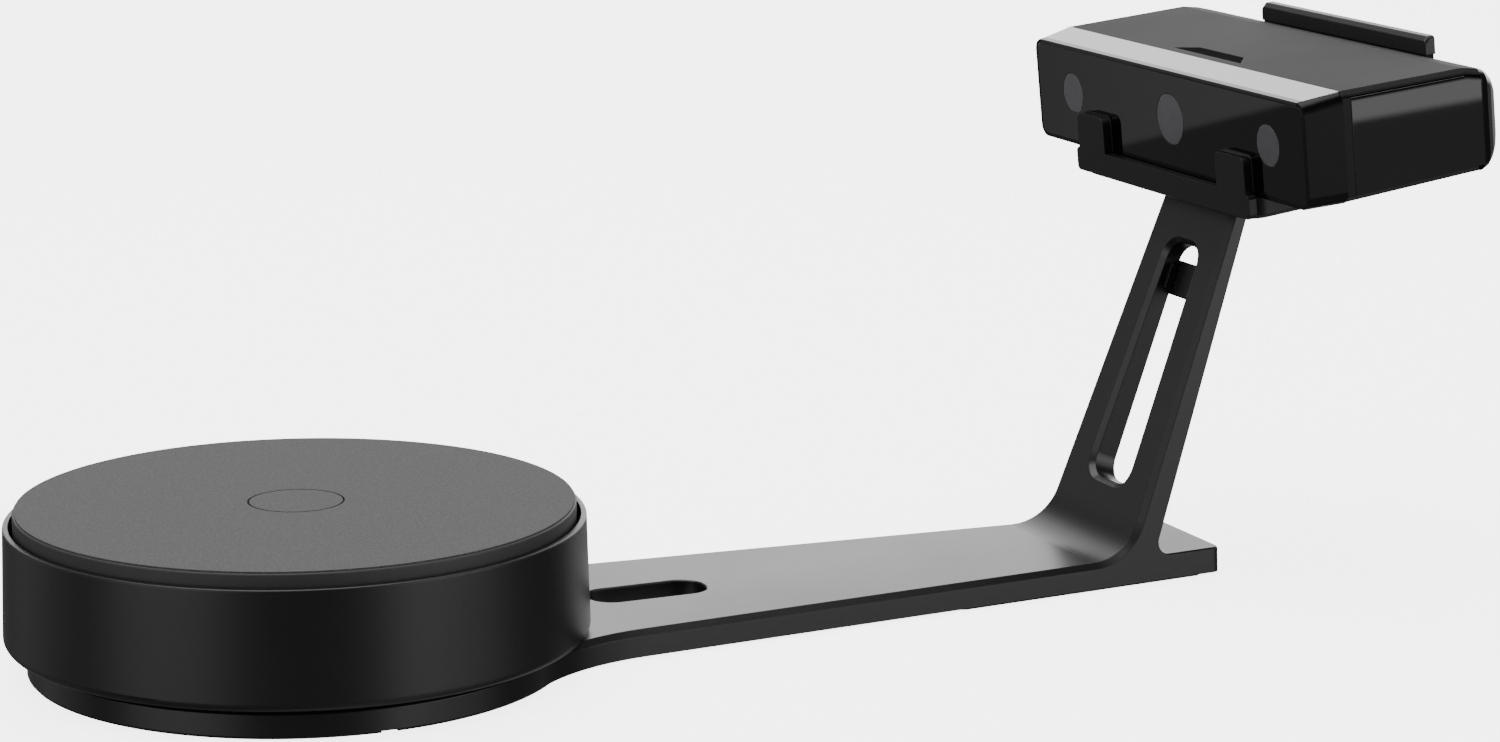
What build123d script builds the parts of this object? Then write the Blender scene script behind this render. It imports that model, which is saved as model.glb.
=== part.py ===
from build123d import *
from math import acos, cos, pi, radians, sin, tan
import os

# Desktop 3D scanner: a motorised turntable and a scanning head on a leaning stand.
# Millimetres. +X runs from the turntable to the head, +Y to the far side, +Z up, and the
# rubber pads rest on z = 0. The origin is below the middle of the overall box.

os.makedirs("parts", exist_ok=True)

# ---------------------------------------------------------------- stand
pad_height = 0.8
base_height = 10.0
base_inset = 7.0  # base inside the housing
edge_chamfer = 2.2
heel_chamfer = 0.6
arm_length = 369.5  # turntable axis to the end of the heel
arm_half_root = 58.5  # half width, carried back to the turntable axis
arm_taper = 0.0712  # half width lost per millimetre of arm
arm_blend = 80.0
heel_corner = 4.0
rim_slack = 0.5
edge_slack = 0.1
touch_slack = 0.01  # what counts as lying on a plane
heel_length = 43.6  # from the riser's front to the end of the heel
riser_depth = 12.5
front_lean = 20.07
back_lean = 18.18
side_draft = 2.03
bend_radius = 21.0
heel_radius = 5.0
flange_thickness = 4.0
flange_length = 30.0
flange_half = 21.0
flange_margin = 2.0
flange_screw_us = (13.0, 25.0)
flange_screw_vs = (-14.0, 14.0)
screw_radius = 1.5
screw_clear_radius = 1.55
screw_head_radius = 2.8
screw_head_height = 2.0
low_head_height = 1.5
screw_tail = 4.5
screw_spare = 0.5

arm_slot_lead = 8.9  # from the housing to the slot
arm_slot_length = 47.1
arm_slot_half = 10.3
arm_slot_corner = 9.2
arm_slot_chamfer = 0.5
riser_slot_bottom = 24.0  # height above the arm
riser_slot_top = 116.0
riser_slot_half = 14.8
riser_slot_taper = 0.035
riser_slot_corner = 8.0
riser_slot_chamfer = 2.0

# ---------------------------------------------------------------- turntable
housing_radius = 105.0
housing_draft = 1.2
housing_wall = 2.05
housing_gap = 0.8
housing_height = 43.0
housing_edge = 3.0
chassis_inset = 12.0  # chassis inside the housing
chassis_thickness = 3.0
housing_flange = 4.0
housing_flange_width = 9.0
platter_inset = 3.6  # platter inside the housing
platter_top = 59.4
platter_plate = 3.0
platter_skirt = 11.4
platter_wall = 2.2
platter_edge = 0.7
mat_thickness = 0.6
cap_radius = 17.0
cap_depth = 1.6
cap_gap = 0.45
rib_count = 8
rib_height = 4.0
rib_width = 2.0

spindle_radius = 4.0
spindle_short = 1.0  # above the bush's lower end
running_gap = 0.05
bush_radius = 7.0
bush_flange = 10.5
bush_flange_height = 2.0
post_radius = 16.0
post_height = 20.2
washer_height = 1.5
bush_depth = 14.0
gear_module = 1.5
gear_pressure = 20.0  # degrees
gear_root = 1.25  # depth and height of a tooth, in modules
gear_tip = 0.95
gear_teeth = 80
pinion_teeth = 16
gear_face = 7.0
gear_backlash = 0.35
gear_hub_radius = 12.5
gear_web = 3.0
gear_hole_count = 6
gear_hole_radius = 9.0
gear_boss_ring = 24.0
motor_angle = 135.0
motor_side = 35.0
motor_height = 20.0
motor_screw_pitch = 26.0
bracket_thickness = 2.0
shaft_radius = 2.5
shaft_proud = 1.0
board_thickness = 1.6
board_length = 62.0
board_width = 40.0
board_angle = 250.0
board_ring = 58.0
standoff_height = 6.0
socket_height = 11.0
socket_width = 12.0
socket_depth = 15.0
socket_lift = 9.0
socket_bore_width = 8.4
socket_bore_height = 7.6
socket_bore_depth = 9.0
trim_gap = 0.2
socket_inset = 3.0
port_corner = 0.8
rim_edge = 0.7
standoff_radius = 3.0
board_inset = 7.0
chip_height = 1.6
driver_chip = 14.0
driver_place = (4.0, -12.0)
small_chip_length = 6.0
small_chip_width = 9.0
small_chip_places = ((-6.0, 14.0), (8.0, 14.0), (-12.0, -14.0))
header_length = 22.0
header_width = 6.0
header_height = 4.8
header_inset = 5.0
motor_lift = 2.0
motor_corner = 3.0
motor_pilot = 9.0
bracket_gap = 0.3
bracket_leg = 20.0
bracket_foot = 10.0
gear_clearance = 2.0
gear_rim = 6.5
gear_lift = 2.0
gear_hole_ring = 36.0
gear_boss = 4.0
gear_boss_count = 3
gear_boss_angle = 30.0
hub_boss_height = 6.0
post_rib_count = 6
post_rib_length = 20.0
post_rib_height = 8.0
rib_lap = 1.0
chassis_screw_inset = 5.0
chassis_screw_angle = 15.0
motor_room = 2.0
arm_pad_length = 110.5
arm_pad_heel = 8.5  # from the pad to the end of the heel
arm_pad_inset = 1.4
arm_pad_corner = 3.0
base_pad_inset = 0.7
base_pad_width = 12.0
base_pad_gap = 6.0
clip_height = 100.0
clip_length = 14.0
clip_corner = 2.0
clip_thickness = 2.4
clip_lap = 3.0
clip_leg = 2.0
clip_gap = 0.55
clip_reach = 4.0

# ---------------------------------------------------------------- head and cradle
face_lead = 34.8  # from the riser's front at the arm to the lower edge of the head's face
face_lift = 156.0
head_pitch = 6.0
face_inset = 1.5  # how much narrower each side is at the face
face_height = 40.6
head_half = 105.0
head_height = 42.8
head_depth = 89.5
bezel_depth = 16.0
side_start = 19.5
tail_length = 12.5
bottom_rise = 2.0  # how far the belly climbs towards the back
corner_radius = 5.0
shell_wall = 2.2
panel_thickness = 2.0
panel_margin = 1.5
trim_thickness = 1.4
side_thickness = 2.2
side_rounding = 2.0
side_low = 3.0
cheek_lap = 0.1
right_lens_inset = 27.0
middle_lens_v = -4.0
left_lens_inset = 29.5
lens_height = 21.4
camera_window = 8.0
projector_window = 10.0
badge_start = 20.5
badge_end = 27.4
badge_half_front = 25.5
badge_half_back = 16.5
badge_depth = 0.5

tray_depth = 9.3
tray_half = 66.0
tray_floor = 6.0
tray_margin = 1.5  # the tray ends this far before the head's back
lip_front = 4.2
lip_thickness = 3.4
hook_height = 15.4
hook_inner = 43.5
hook_width = 21.0
hook_corner = 3.4
lip_top = 1.0
lip_bottom = -8.4
lip_half = 66.8
lip_corner = 2.0
tray_corner = 9.0
latch_half = 60.0
latch_leg = 14.0
latch_shoulder = 32.0
latch_window_top = 29.0
latch_neck = 36.0
latch_neck_top = 44.4
hook_bar_half = 59.8
hook_bar_depth = 4.4
latch_thickness = 4.5
latch_gap = 0.8
latch_reach = 7.9
latch_corner = 3.0
bar_face = 5.6
bar_slope = 1.6
bar_lap = 1.0
bar_corner = 1.6
latch_top = 47.3
pin_radius = 1.5
pin_w = -4.5
lug_radius = 3.0
lug_place = 34.0
lug_width = 8.0
lug_root = 2.0
lug_room = 1.0
latch_foot = -8.0
latch_sill = 1.0
latch_hook = 40.1
seat_gap = 0.3
tray_chamfer = 1.6
tray_back_half = 58.0
pad_front_start = 6.0
pad_rear_inset = 27.5
pad_size = 10.0
pad_place = 44.0
pad_corner = 2.0
fit_gap = 0.1
tail_lead = 7.0  # the top starts to fall this far before the tail
tail_fall = 1.4
tail_narrowing = 11.0
tail_curve = 1.6  # powers of the tail's curves, in plan and from the side
tail_droop = 1.5
rear_high = 34.0
rear_low = 8.5
cover_thickness = 2.4
cover_margin = 1.0
cover_chamfer = 1.6
small_screw = 1.25
boss_radius = 3.5
frame_seat = 5.0
frame_front = 28.0
frame_thickness = 3.0
frame_top = 38.0
frame_margin = 11.0
frame_bore = 1.2
frame_corner = 2.0
foot_length = 13.0
frame_screw_u = 37.0
frame_screw_inset = 8.0
frame_screw_gap = 38.0
board_post_front = 4.0  # posts from the board's front and rear edges
board_post_rear = 6.0
board_post_vs = (-52.0, 52.0)
board_seat = 7.0
board_start = 46.0
main_board_half = 58.0
processor_side = 16.0
processor_start = 12.0
memory_length = 9.0
memory_width = 12.0
memory_places = ((12.0, 14.0), (10.0, 38.0))  # from the board's front and right edges
barrel_front = 5.0
barrel_wall = 1.2
lens_depth = 3.0
camera_board_side = 24.0
projector_w = 23.0
projector_width = 44.0
projector_height = 24.0
projector_depth = 34.0
projector_corner = 2.0
fin_pitch = 4.0
fin_count = 9
fin_depth = 4.0
fan_side = 25.0
fan_depth = 8.0
fan_w = 24.0
fan_bore = 11.2
fan_hub = 5.5
fan_back = 1.5
blade_count = 7
blade_thickness = 1.2
blade_angle = 25.0
blade_tip_gap = 1.0
strut_width = 1.2
strut_lap = 1.0
fan_corner = 2.0
axle_radius = 1.0
axle_short = 1.0
vent_pitch = 4.0
vent_count = 5
vent_width = 2.0
vent_length = 21.0
port_v = 39.0
port_inset = 0.5
jack_v = 24.0
jack_radius = 5.0
jack_bore = 3.2
jack_pin = 1.0
pin_short = 1.0
button_w = 17.0
button_radius = 4.5
button_gap = 0.3
button_flange = 1.0
button_lip = 1.0
button_proud = 1.2
button_travel = 0.8
switch_depth = 5.0
switch_width = 7.0
switch_rise = 3.0  # above the button's axis

# ---------------------------------------------------------------- places worked out
base_top = pad_height + base_height
base_radius = housing_radius - base_inset
chassis_radius = housing_radius - chassis_inset
platter_radius = housing_radius - platter_inset
housing_flange_inner = chassis_radius - housing_flange_width
chassis_screw_ring = chassis_radius - chassis_screw_inset
socket_ring = housing_radius - socket_inset
arm_slot_start = housing_radius + arm_slot_lead
arm_pad_end = arm_length - arm_pad_heel
arm_pad_start = arm_pad_end - arm_pad_length
riser_front = arm_length - heel_length
face_foot = riser_front + face_lead
face_half = head_half - face_inset
tail_start = head_depth - tail_length
tail_bend = tail_start - tail_lead
pad_rear_start = head_depth - pad_rear_inset
board_post_us = (board_start + board_post_front, tail_start - board_post_rear)
lens_vs = (right_lens_inset - face_half, middle_lens_v, face_half - left_lens_inset)
frame_half = head_half - frame_margin
outer_screw_v = frame_half - frame_screw_inset
inner_screw_v = outer_screw_v - frame_screw_gap
frame_screw_vs = (-outer_screw_v, -inner_screw_v, inner_screw_v, outer_screw_v)
pitch = radians(head_pitch)
latch_inner = head_depth + latch_gap
rear_reach = face_foot + (latch_inner + latch_thickness) * cos(pitch) + tray_depth * sin(pitch)
turntable_x = (housing_radius + housing_draft - rear_reach) / 2
chassis_top = base_top + chassis_thickness
head_plane = Plane(
    origin=(turntable_x + face_foot, 0, face_lift),
    x_dir=(cos(pitch), 0, sin(pitch)),
    z_dir=(-sin(pitch), 0, cos(pitch)),
)


def turntable_plane(z):
    """Level plane centred on the turntable's axis."""
    return Plane(origin=(turntable_x, 0, z))


def head_point(u, v, w):
    """A point in the head's own directions: u to the back, v across, w up."""
    return head_plane.from_local_coords(Vector(u, v, w))


def head_facing(u):
    """Plane across the head at depth u, looking backwards."""
    return Plane(origin=head_point(u, 0, 0), x_dir=(0, 1, 0), z_dir=head_plane.x_dir)


def head_side(v=0):
    """Plane along the head at v, with u to the right and w up."""
    return Plane(origin=head_point(0, v, 0), x_dir=head_plane.x_dir, z_dir=(0, -1, 0))


def around(radius, angle, z):
    """A level plane on the turntable at a radius and angle from its axis, turned with it."""
    x = turntable_x + radius * cos(radians(angle))
    y = radius * sin(radians(angle))
    return Plane(origin=(x, y, z), x_dir=(cos(radians(angle)), sin(radians(angle)), 0))


def save(piece, name):
    piece.part.label = name
    export_step(piece.part, f"parts/{name}.step")


# ---------------------------------------------------------------- stand frame
front_run = tan(radians(front_lean))
back_run = tan(radians(back_lean))
riser_back = riser_front + riser_depth
riser_height = face_lift - base_top + tray_depth
riser_plane = Plane(
    origin=(turntable_x + riser_front, 0, base_top),
    x_dir=(0, -1, 0),
    z_dir=(-cos(radians(front_lean)), 0, sin(radians(front_lean))),
)
slant = 1 / cos(radians(front_lean))
fall_to_riser = tray_depth / cos(pitch) + tan(pitch) * (face_foot - riser_front)
meet_height = (face_lift - base_top - fall_to_riser) / (1 - tan(pitch) * front_run)
meet_x = riser_front + front_run * meet_height
meet_fall = face_lift - base_top - meet_height
flange_start = (meet_x - face_foot) * cos(pitch) - meet_fall * sin(pitch)
flange_holes = [(flange_start + u, v) for u in flange_screw_us for v in flange_screw_vs]


def arm_half(x):
    return arm_half_root - arm_taper * x


with BuildPart() as riser:
    with BuildSketch(Plane(origin=(turntable_x, 0, 0), x_dir=(1, 0, 0), z_dir=(0, -1, 0))) as side:
        with BuildLine():
            Polyline(
                (riser_front - 2 * bend_radius, pad_height),
                (riser_back + 2 * heel_radius, pad_height),
                (riser_back + 2 * heel_radius, base_top),
                (riser_back, base_top),
                (riser_back + back_run * riser_height, base_top + riser_height),
                (riser_front + front_run * riser_height, base_top + riser_height),
                (riser_front, base_top),
                (riser_front - 2 * bend_radius, base_top),
                close=True,
            )
        make_face()
        fillet(side.vertices().sort_by_distance((riser_front, base_top))[0], radius=bend_radius)
        fillet(side.vertices().sort_by_distance((riser_back, base_top))[0], radius=heel_radius)
    extrude(amount=base_radius, both=True)
    riser_end = riser_back + riser_height
    with BuildSketch(turntable_plane(pad_height)):
        with BuildLine():
            Polyline(
                (0, -arm_half(0)),
                (riser_end, -arm_half(riser_end)),
                (riser_end, arm_half(riser_end)),
                (0, arm_half(0)),
                close=True,
            )
        make_face()
    extrude(amount=base_height + riser_height, taper=side_draft, mode=Mode.INTERSECT)

with BuildPart() as stand_frame:
    with BuildSketch(turntable_plane(pad_height)) as plan:
        Circle(base_radius)
        with BuildLine():
            Polyline(
                (0, -arm_half(0)),
                (arm_length, -arm_half(arm_length)),
                (arm_length, arm_half(arm_length)),
                (0, arm_half(0)),
                close=True,
            )
        make_face()
        fillet(plan.vertices().group_by(Axis.X)[-1], radius=heel_corner)
        fillet(plan.vertices().group_by(Axis.X)[0], radius=arm_blend)
    extrude(amount=base_height, taper=side_draft)
    add(riser.part)

    def front_rim(edge):
        """Upper edges of the base and the arm, and the front edges of the riser."""
        middle = edge @ 0.5
        height = middle.Z - base_top
        along = middle.X - turntable_x
        level = abs(height) < touch_slack and along < riser_front and abs(middle.Y) > heel_radius
        base_end = abs(height) < touch_slack and along < 0
        at_front = along < riser_front + front_run * height + rim_slack
        leaning = touch_slack < height < riser_height / 1.5 and abs(middle.Y) > flange_half
        return level or base_end or (leaning and at_front)

    def heel_rim(edge):
        """Upper edges of the heel behind the riser."""
        middle = edge @ 0.5
        return abs(middle.Z - base_top) < touch_slack and middle.X - turntable_x > arm_length - heel_corner

    chamfer(stand_frame.edges().filter_by(front_rim), length=edge_chamfer)
    chamfer(stand_frame.edges().filter_by(heel_rim), length=heel_chamfer)
    # cable slot through the arm
    slot_centre = turntable_x + arm_slot_start + arm_slot_length / 2
    with BuildSketch(Plane(origin=(slot_centre, 0, base_top))):
        RectangleRounded(arm_slot_length, 2 * arm_slot_half, arm_slot_corner)
    extrude(amount=-2 * base_height, mode=Mode.SUBTRACT)
    with BuildSketch(Plane(origin=(slot_centre, 0, base_top))):
        rim_growth = 2 * arm_slot_chamfer
        rim_corner = arm_slot_corner + arm_slot_chamfer
        rim_length = arm_slot_length + rim_growth
        RectangleRounded(rim_length, 2 * arm_slot_half + rim_growth, rim_corner)
    extrude(amount=-arm_slot_chamfer, taper=45, mode=Mode.SUBTRACT)
    # cable slot through the riser, wider below, with a bevelled front
    with BuildSketch(riser_plane) as riser_slot:
        narrow_half = riser_slot_half - riser_slot_taper * (riser_slot_top - riser_slot_bottom)
        with BuildLine():
            Polyline(
                (-riser_slot_half, riser_slot_bottom * slant),
                (riser_slot_half, riser_slot_bottom * slant),
                (narrow_half, riser_slot_top * slant),
                (-narrow_half, riser_slot_top * slant),
                close=True,
            )
        make_face()
        fillet(riser_slot.vertices(), radius=riser_slot_corner)
    extrude(amount=-3 * riser_depth, mode=Mode.SUBTRACT)
    with BuildSketch(riser_plane):
        offset(riser_slot.sketch_local, amount=riser_slot_chamfer)
    extrude(amount=-riser_slot_chamfer, taper=45, mode=Mode.SUBTRACT)
    # flange that carries the cradle
    with BuildSketch(head_plane.offset(-tray_depth)):
        with Locations((flange_start + flange_length / 2 + flange_margin, 0)):
            RectangleRounded(flange_length, 2 * flange_half, heel_corner)
    extrude(amount=-flange_thickness)
    with BuildSketch(head_plane.offset(-tray_depth)):
        Rectangle(4 * base_radius, 4 * base_radius)
    extrude(amount=4 * tray_depth, mode=Mode.SUBTRACT)
    with BuildSketch(head_plane.offset(-tray_depth)):
        with Locations(*flange_holes):
            Circle(screw_clear_radius)
    extrude(amount=-2 * flange_thickness, mode=Mode.SUBTRACT)
save(stand_frame, "stand_frame")


with BuildPart() as arm_foot_pad:
    with BuildSketch(turntable_plane(0)) as arm_pad:
        with BuildLine():
            Polyline(
                (arm_pad_start, arm_pad_inset - arm_half(arm_pad_start)),
                (arm_pad_end, arm_pad_inset - arm_half(arm_pad_end)),
                (arm_pad_end, arm_half(arm_pad_end) - arm_pad_inset),
                (arm_pad_start, arm_half(arm_pad_start) - arm_pad_inset),
                close=True,
            )
        make_face()
        fillet(arm_pad.vertices(), radius=arm_pad_corner)
    extrude(amount=pad_height)
save(arm_foot_pad, "arm_foot_pad")

with BuildPart() as base_foot_pads:
    pad_radius = base_radius - base_pad_inset
    with BuildSketch(turntable_plane(0)):
        Circle(pad_radius)
        Circle(pad_radius - base_pad_width, mode=Mode.SUBTRACT)
        for angle in (0, 90):
            Rectangle(2 * base_radius, base_pad_gap, rotation=angle, mode=Mode.SUBTRACT)
    extrude(amount=pad_height)
save(base_foot_pads, "base_foot_pads")

# cable clip: a bridge snapped across the riser slot from behind, with a hook over the cable
clip_plane = Plane(
    origin=(turntable_x + riser_back + back_run * clip_height, 0, base_top + clip_height),
    x_dir=(0, 1, 0),
    z_dir=(cos(radians(back_lean)), 0, -sin(radians(back_lean))),
)
clip_half = riser_slot_half - riser_slot_taper * (clip_height - riser_slot_bottom)
with BuildPart() as cable_clip:
    with BuildSketch(clip_plane):
        RectangleRounded(2 * clip_half + 2 * clip_lap, clip_length, clip_corner)
    extrude(amount=clip_thickness)
    with BuildSketch(clip_plane):
        with Locations((-clip_half + clip_leg / 2 + clip_gap, 0)):
            Rectangle(clip_leg, clip_length - 2 * clip_corner)
        with Locations((clip_half - clip_leg / 2 - clip_gap, 0)):
            Rectangle(clip_leg, clip_length - 2 * clip_corner)
    extrude(amount=-clip_reach)
save(cable_clip, "cable_clip")

# ---------------------------------------------------------------- turntable: chassis and housing
post_top = chassis_top + post_height
inner_radius = housing_radius - housing_wall
housing_top = base_top + housing_gap + housing_height
pinion_pitch = gear_module * pinion_teeth / 2
gear_pitch = gear_module * gear_teeth / 2
motor_ring = pinion_pitch + gear_pitch
bush_top = post_top + bush_flange_height
washer_top = bush_top + washer_height
motor_base = chassis_top + motor_lift
motor_top = motor_base + motor_height
gear_base = motor_top + bracket_thickness + gear_clearance
gear_top = gear_base + gear_face
foot_middle = motor_side / 2 + bracket_gap + bracket_thickness / 2 + bracket_foot / 2
screw_places = [(chassis_screw_ring, chassis_screw_angle + 90 * i) for i in range(4)]

with BuildPart() as chassis_plate:
    with BuildSketch(turntable_plane(base_top)):
        Circle(chassis_radius)
    extrude(amount=chassis_thickness)
    with BuildSketch(turntable_plane(chassis_top)):
        Circle(post_radius)
    extrude(amount=post_height)
    with BuildSketch(turntable_plane(chassis_top)):
        with PolarLocations(0, post_rib_count):
            with Locations((post_radius + post_rib_length / 2 - rib_lap, 0)):
                Rectangle(post_rib_length, rib_width)
    extrude(amount=post_rib_height)
    with BuildSketch(around(motor_ring, motor_angle, chassis_top)):
        Rectangle(motor_side, motor_side)
    extrude(amount=motor_lift)
    with BuildSketch(around(board_ring, board_angle, chassis_top)):
        with GridLocations(board_width - board_inset, board_length - board_inset, 2, 2):
            Circle(standoff_radius)
    extrude(amount=standoff_height)
    with BuildSketch(turntable_plane(post_top)):
        Circle(bush_radius)
    extrude(amount=-bush_depth, mode=Mode.SUBTRACT)
    for ring, angle in screw_places:
        with BuildSketch(around(ring, angle, base_top)):
            Circle(screw_clear_radius)
        extrude(amount=chassis_thickness, mode=Mode.SUBTRACT)
    with BuildSketch(around(motor_ring, motor_angle, chassis_top)):
        with GridLocations(0, 2 * foot_middle, 1, 2):
            Circle(screw_radius)
    extrude(amount=-chassis_thickness, mode=Mode.SUBTRACT)
save(chassis_plate, "chassis_plate")

with BuildPart() as turntable_housing:
    low = base_top + housing_gap
    bottom_radius = housing_radius + housing_draft
    with BuildSketch(Plane(origin=(turntable_x, 0, 0), x_dir=(1, 0, 0), z_dir=(0, -1, 0))) as wall:
        with BuildLine():
            Polyline(
                (chassis_radius + trim_gap, low),
                (bottom_radius, low),
                (housing_radius, housing_top),
                (inner_radius, housing_top),
                (inner_radius, chassis_top + housing_flange),
                (housing_flange_inner, chassis_top + housing_flange),
                (housing_flange_inner, chassis_top),
                (chassis_radius + trim_gap, chassis_top),
                close=True,
            )
        make_face()
        fillet(wall.vertices().sort_by_distance((bottom_radius, low))[0], radius=housing_edge)
        fillet(wall.vertices().sort_by_distance((housing_radius, housing_top))[0], radius=rim_edge)
    revolve(axis=Axis((turntable_x, 0, 0), (0, 0, 1)))
    shelf_depth = inner_radius - socket_ring + socket_depth
    with BuildSketch(around(inner_radius - shelf_depth / 2, 0, chassis_top)):
        Rectangle(shelf_depth, socket_width)
    extrude(amount=socket_lift)
    bracket_span = motor_side + 2 * (bracket_gap + bracket_thickness + bracket_foot)
    with BuildSketch(around(motor_ring, motor_angle, chassis_top)):
        Rectangle(motor_side + motor_room, bracket_span + motor_room)
    extrude(amount=housing_flange, mode=Mode.SUBTRACT)
    port_z = chassis_top + socket_lift + socket_height / 2
    with BuildSketch(Plane(origin=(turntable_x, 0, port_z), x_dir=(0, 1, 0), z_dir=(1, 0, 0))):
        RectangleRounded(socket_width + 2 * trim_gap, socket_height + 2 * trim_gap, port_corner)
    extrude(amount=2 * housing_radius, mode=Mode.SUBTRACT)
    for ring, angle in screw_places:
        with BuildSketch(around(ring, angle, chassis_top)):
            Circle(screw_radius)
        extrude(amount=housing_flange, mode=Mode.SUBTRACT)
save(turntable_housing, "turntable_housing")


def data_socket(plane):
    """A square data socket with an open mouth lying in the plane."""
    with BuildPart() as socket:
        with BuildSketch(plane):
            RectangleRounded(socket_width, socket_height, port_corner)
        extrude(amount=-socket_depth)
        with BuildSketch(plane):
            RectangleRounded(socket_bore_width, socket_bore_height, port_corner)
        extrude(amount=-socket_bore_depth, mode=Mode.SUBTRACT)
    return socket


socket_mouth = Plane(
    origin=(turntable_x + socket_ring, 0, port_z), x_dir=(0, 1, 0), z_dir=(1, 0, 0)
)
turntable_socket = data_socket(socket_mouth)
save(turntable_socket, "turntable_socket")

with BuildPart() as chassis_screws:
    for ring, angle in screw_places:
        with BuildSketch(around(ring, angle, base_top)):
            Circle(screw_radius)
        extrude(amount=chassis_thickness + housing_flange - trim_gap)
save(chassis_screws, "chassis_screws")

# ---------------------------------------------------------------- turntable: bearing and drive
with BuildPart() as spindle_bush:
    with BuildSketch(turntable_plane(post_top - bush_depth)):
        Circle(bush_radius)
    extrude(amount=bush_depth)
    with BuildSketch(turntable_plane(post_top)):
        Circle(bush_flange)
    extrude(amount=bush_flange_height)
    with BuildSketch(turntable_plane(post_top - bush_depth)):
        Circle(spindle_radius + running_gap)
    extrude(amount=bush_depth + bush_flange_height, mode=Mode.SUBTRACT)
save(spindle_bush, "spindle_bush")

with BuildPart() as thrust_washer:
    with BuildSketch(turntable_plane(bush_top)):
        Circle(bush_flange)
        Circle(spindle_radius + running_gap, mode=Mode.SUBTRACT)
    extrude(amount=washer_height)
save(thrust_washer, "thrust_washer")

hub_top = platter_top - platter_plate - hub_boss_height
web_base = gear_base + gear_lift
web_top = web_base + gear_web
with BuildPart() as spindle:
    with BuildSketch(turntable_plane(post_top - bush_depth + spindle_short)):
        Circle(spindle_radius)
    extrude(amount=platter_top - platter_plate - (post_top - bush_depth + spindle_short))
save(spindle, "spindle")


def involute(angle):
    return tan(angle) - angle


def gear_points(teeth, backlash, phase):
    """Outline of a spur gear: straight roots, and flanks through points of the involute."""
    pressure = radians(gear_pressure)
    rolling = gear_module * teeth / 2
    base_circle = rolling * cos(pressure)
    root = rolling - gear_root * gear_module
    tip = rolling + gear_tip * gear_module
    half_tooth = pi / (2 * teeth) - backlash / (4 * rolling)
    start = max(root, base_circle)
    flank = []
    for step in range(4):
        radius = start + (tip - start) * step / 3
        roll = involute(pressure) - involute(acos(min(1, base_circle / radius)))
        flank.append((radius, half_tooth + roll))
    if root < base_circle:
        flank.insert(0, (root, flank[0][1]))
    points = []
    for tooth in range(teeth):
        middle = phase + 2 * pi * tooth / teeth
        sides = [(r, middle - a) for r, a in flank] + [(r, middle + a) for r, a in reversed(flank)]
        points += [(r * cos(a), r * sin(a)) for r, a in sides]
    return points


with BuildPart() as drive_gear:
    with BuildSketch(turntable_plane(gear_base)):
        with BuildLine():
            Polyline(*gear_points(gear_teeth, gear_backlash, 0), close=True)
        make_face()
        rim_inner = gear_pitch - gear_rim
        Circle(rim_inner, mode=Mode.SUBTRACT)
    extrude(amount=gear_face)
    with BuildSketch(turntable_plane(web_base)):
        Circle(rim_inner)
        with PolarLocations(gear_hole_ring, gear_hole_count):
            Circle(gear_hole_radius, mode=Mode.SUBTRACT)
    extrude(amount=gear_web)
    with BuildSketch(turntable_plane(washer_top)):
        Circle(gear_hub_radius)
    extrude(amount=hub_top - washer_top)
    with BuildSketch(turntable_plane(washer_top)):
        Circle(spindle_radius)
    extrude(amount=hub_top - washer_top, mode=Mode.SUBTRACT)
    with BuildSketch(turntable_plane(washer_top)):
        with PolarLocations(gear_boss_ring, gear_boss_count, start_angle=gear_boss_angle):
            Circle(screw_clear_radius)
    extrude(amount=gear_top - washer_top + gear_face, mode=Mode.SUBTRACT)
save(drive_gear, "drive_gear")

with BuildPart() as drive_motor:
    with BuildSketch(around(motor_ring, motor_angle, motor_base)) as can:
        Rectangle(motor_side, motor_side)
        chamfer(can.vertices(), length=motor_corner)
    extrude(amount=motor_height)
    with BuildSketch(around(motor_ring, motor_angle, motor_top)):
        Circle(shaft_radius + running_gap)
    extrude(amount=-motor_height / 2, mode=Mode.SUBTRACT)
    with BuildSketch(around(motor_ring, motor_angle, motor_top)):
        with GridLocations(motor_screw_pitch, motor_screw_pitch, 2, 2):
            Circle(screw_radius)
    extrude(amount=-screw_tail - screw_spare, mode=Mode.SUBTRACT)
save(drive_motor, "drive_motor")

with BuildPart() as motor_bracket:
    with BuildSketch(around(motor_ring, motor_angle, motor_top)):
        Rectangle(motor_side, motor_side + 2 * bracket_gap + 2 * bracket_thickness)
        Circle(motor_pilot, mode=Mode.SUBTRACT)
    extrude(amount=bracket_thickness)
    leg_y = motor_side / 2 + bracket_gap + bracket_thickness / 2
    with BuildSketch(around(motor_ring, motor_angle, chassis_top)):
        with GridLocations(0, 2 * leg_y, 1, 2):
            Rectangle(bracket_leg, bracket_thickness)
    extrude(amount=motor_top - chassis_top)
    with BuildSketch(around(motor_ring, motor_angle, chassis_top)):
        with GridLocations(0, 2 * leg_y + bracket_foot, 1, 2):
            Rectangle(bracket_leg, bracket_foot)
    extrude(amount=bracket_thickness)
    with BuildSketch(around(motor_ring, motor_angle, motor_top)):
        with GridLocations(motor_screw_pitch, motor_screw_pitch, 2, 2):
            Circle(screw_clear_radius)
    extrude(amount=bracket_thickness, mode=Mode.SUBTRACT)
    with BuildSketch(around(motor_ring, motor_angle, chassis_top)):
        with GridLocations(0, 2 * foot_middle, 1, 2):
            Circle(screw_clear_radius)
    extrude(amount=bracket_thickness, mode=Mode.SUBTRACT)
save(motor_bracket, "motor_bracket")

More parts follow.
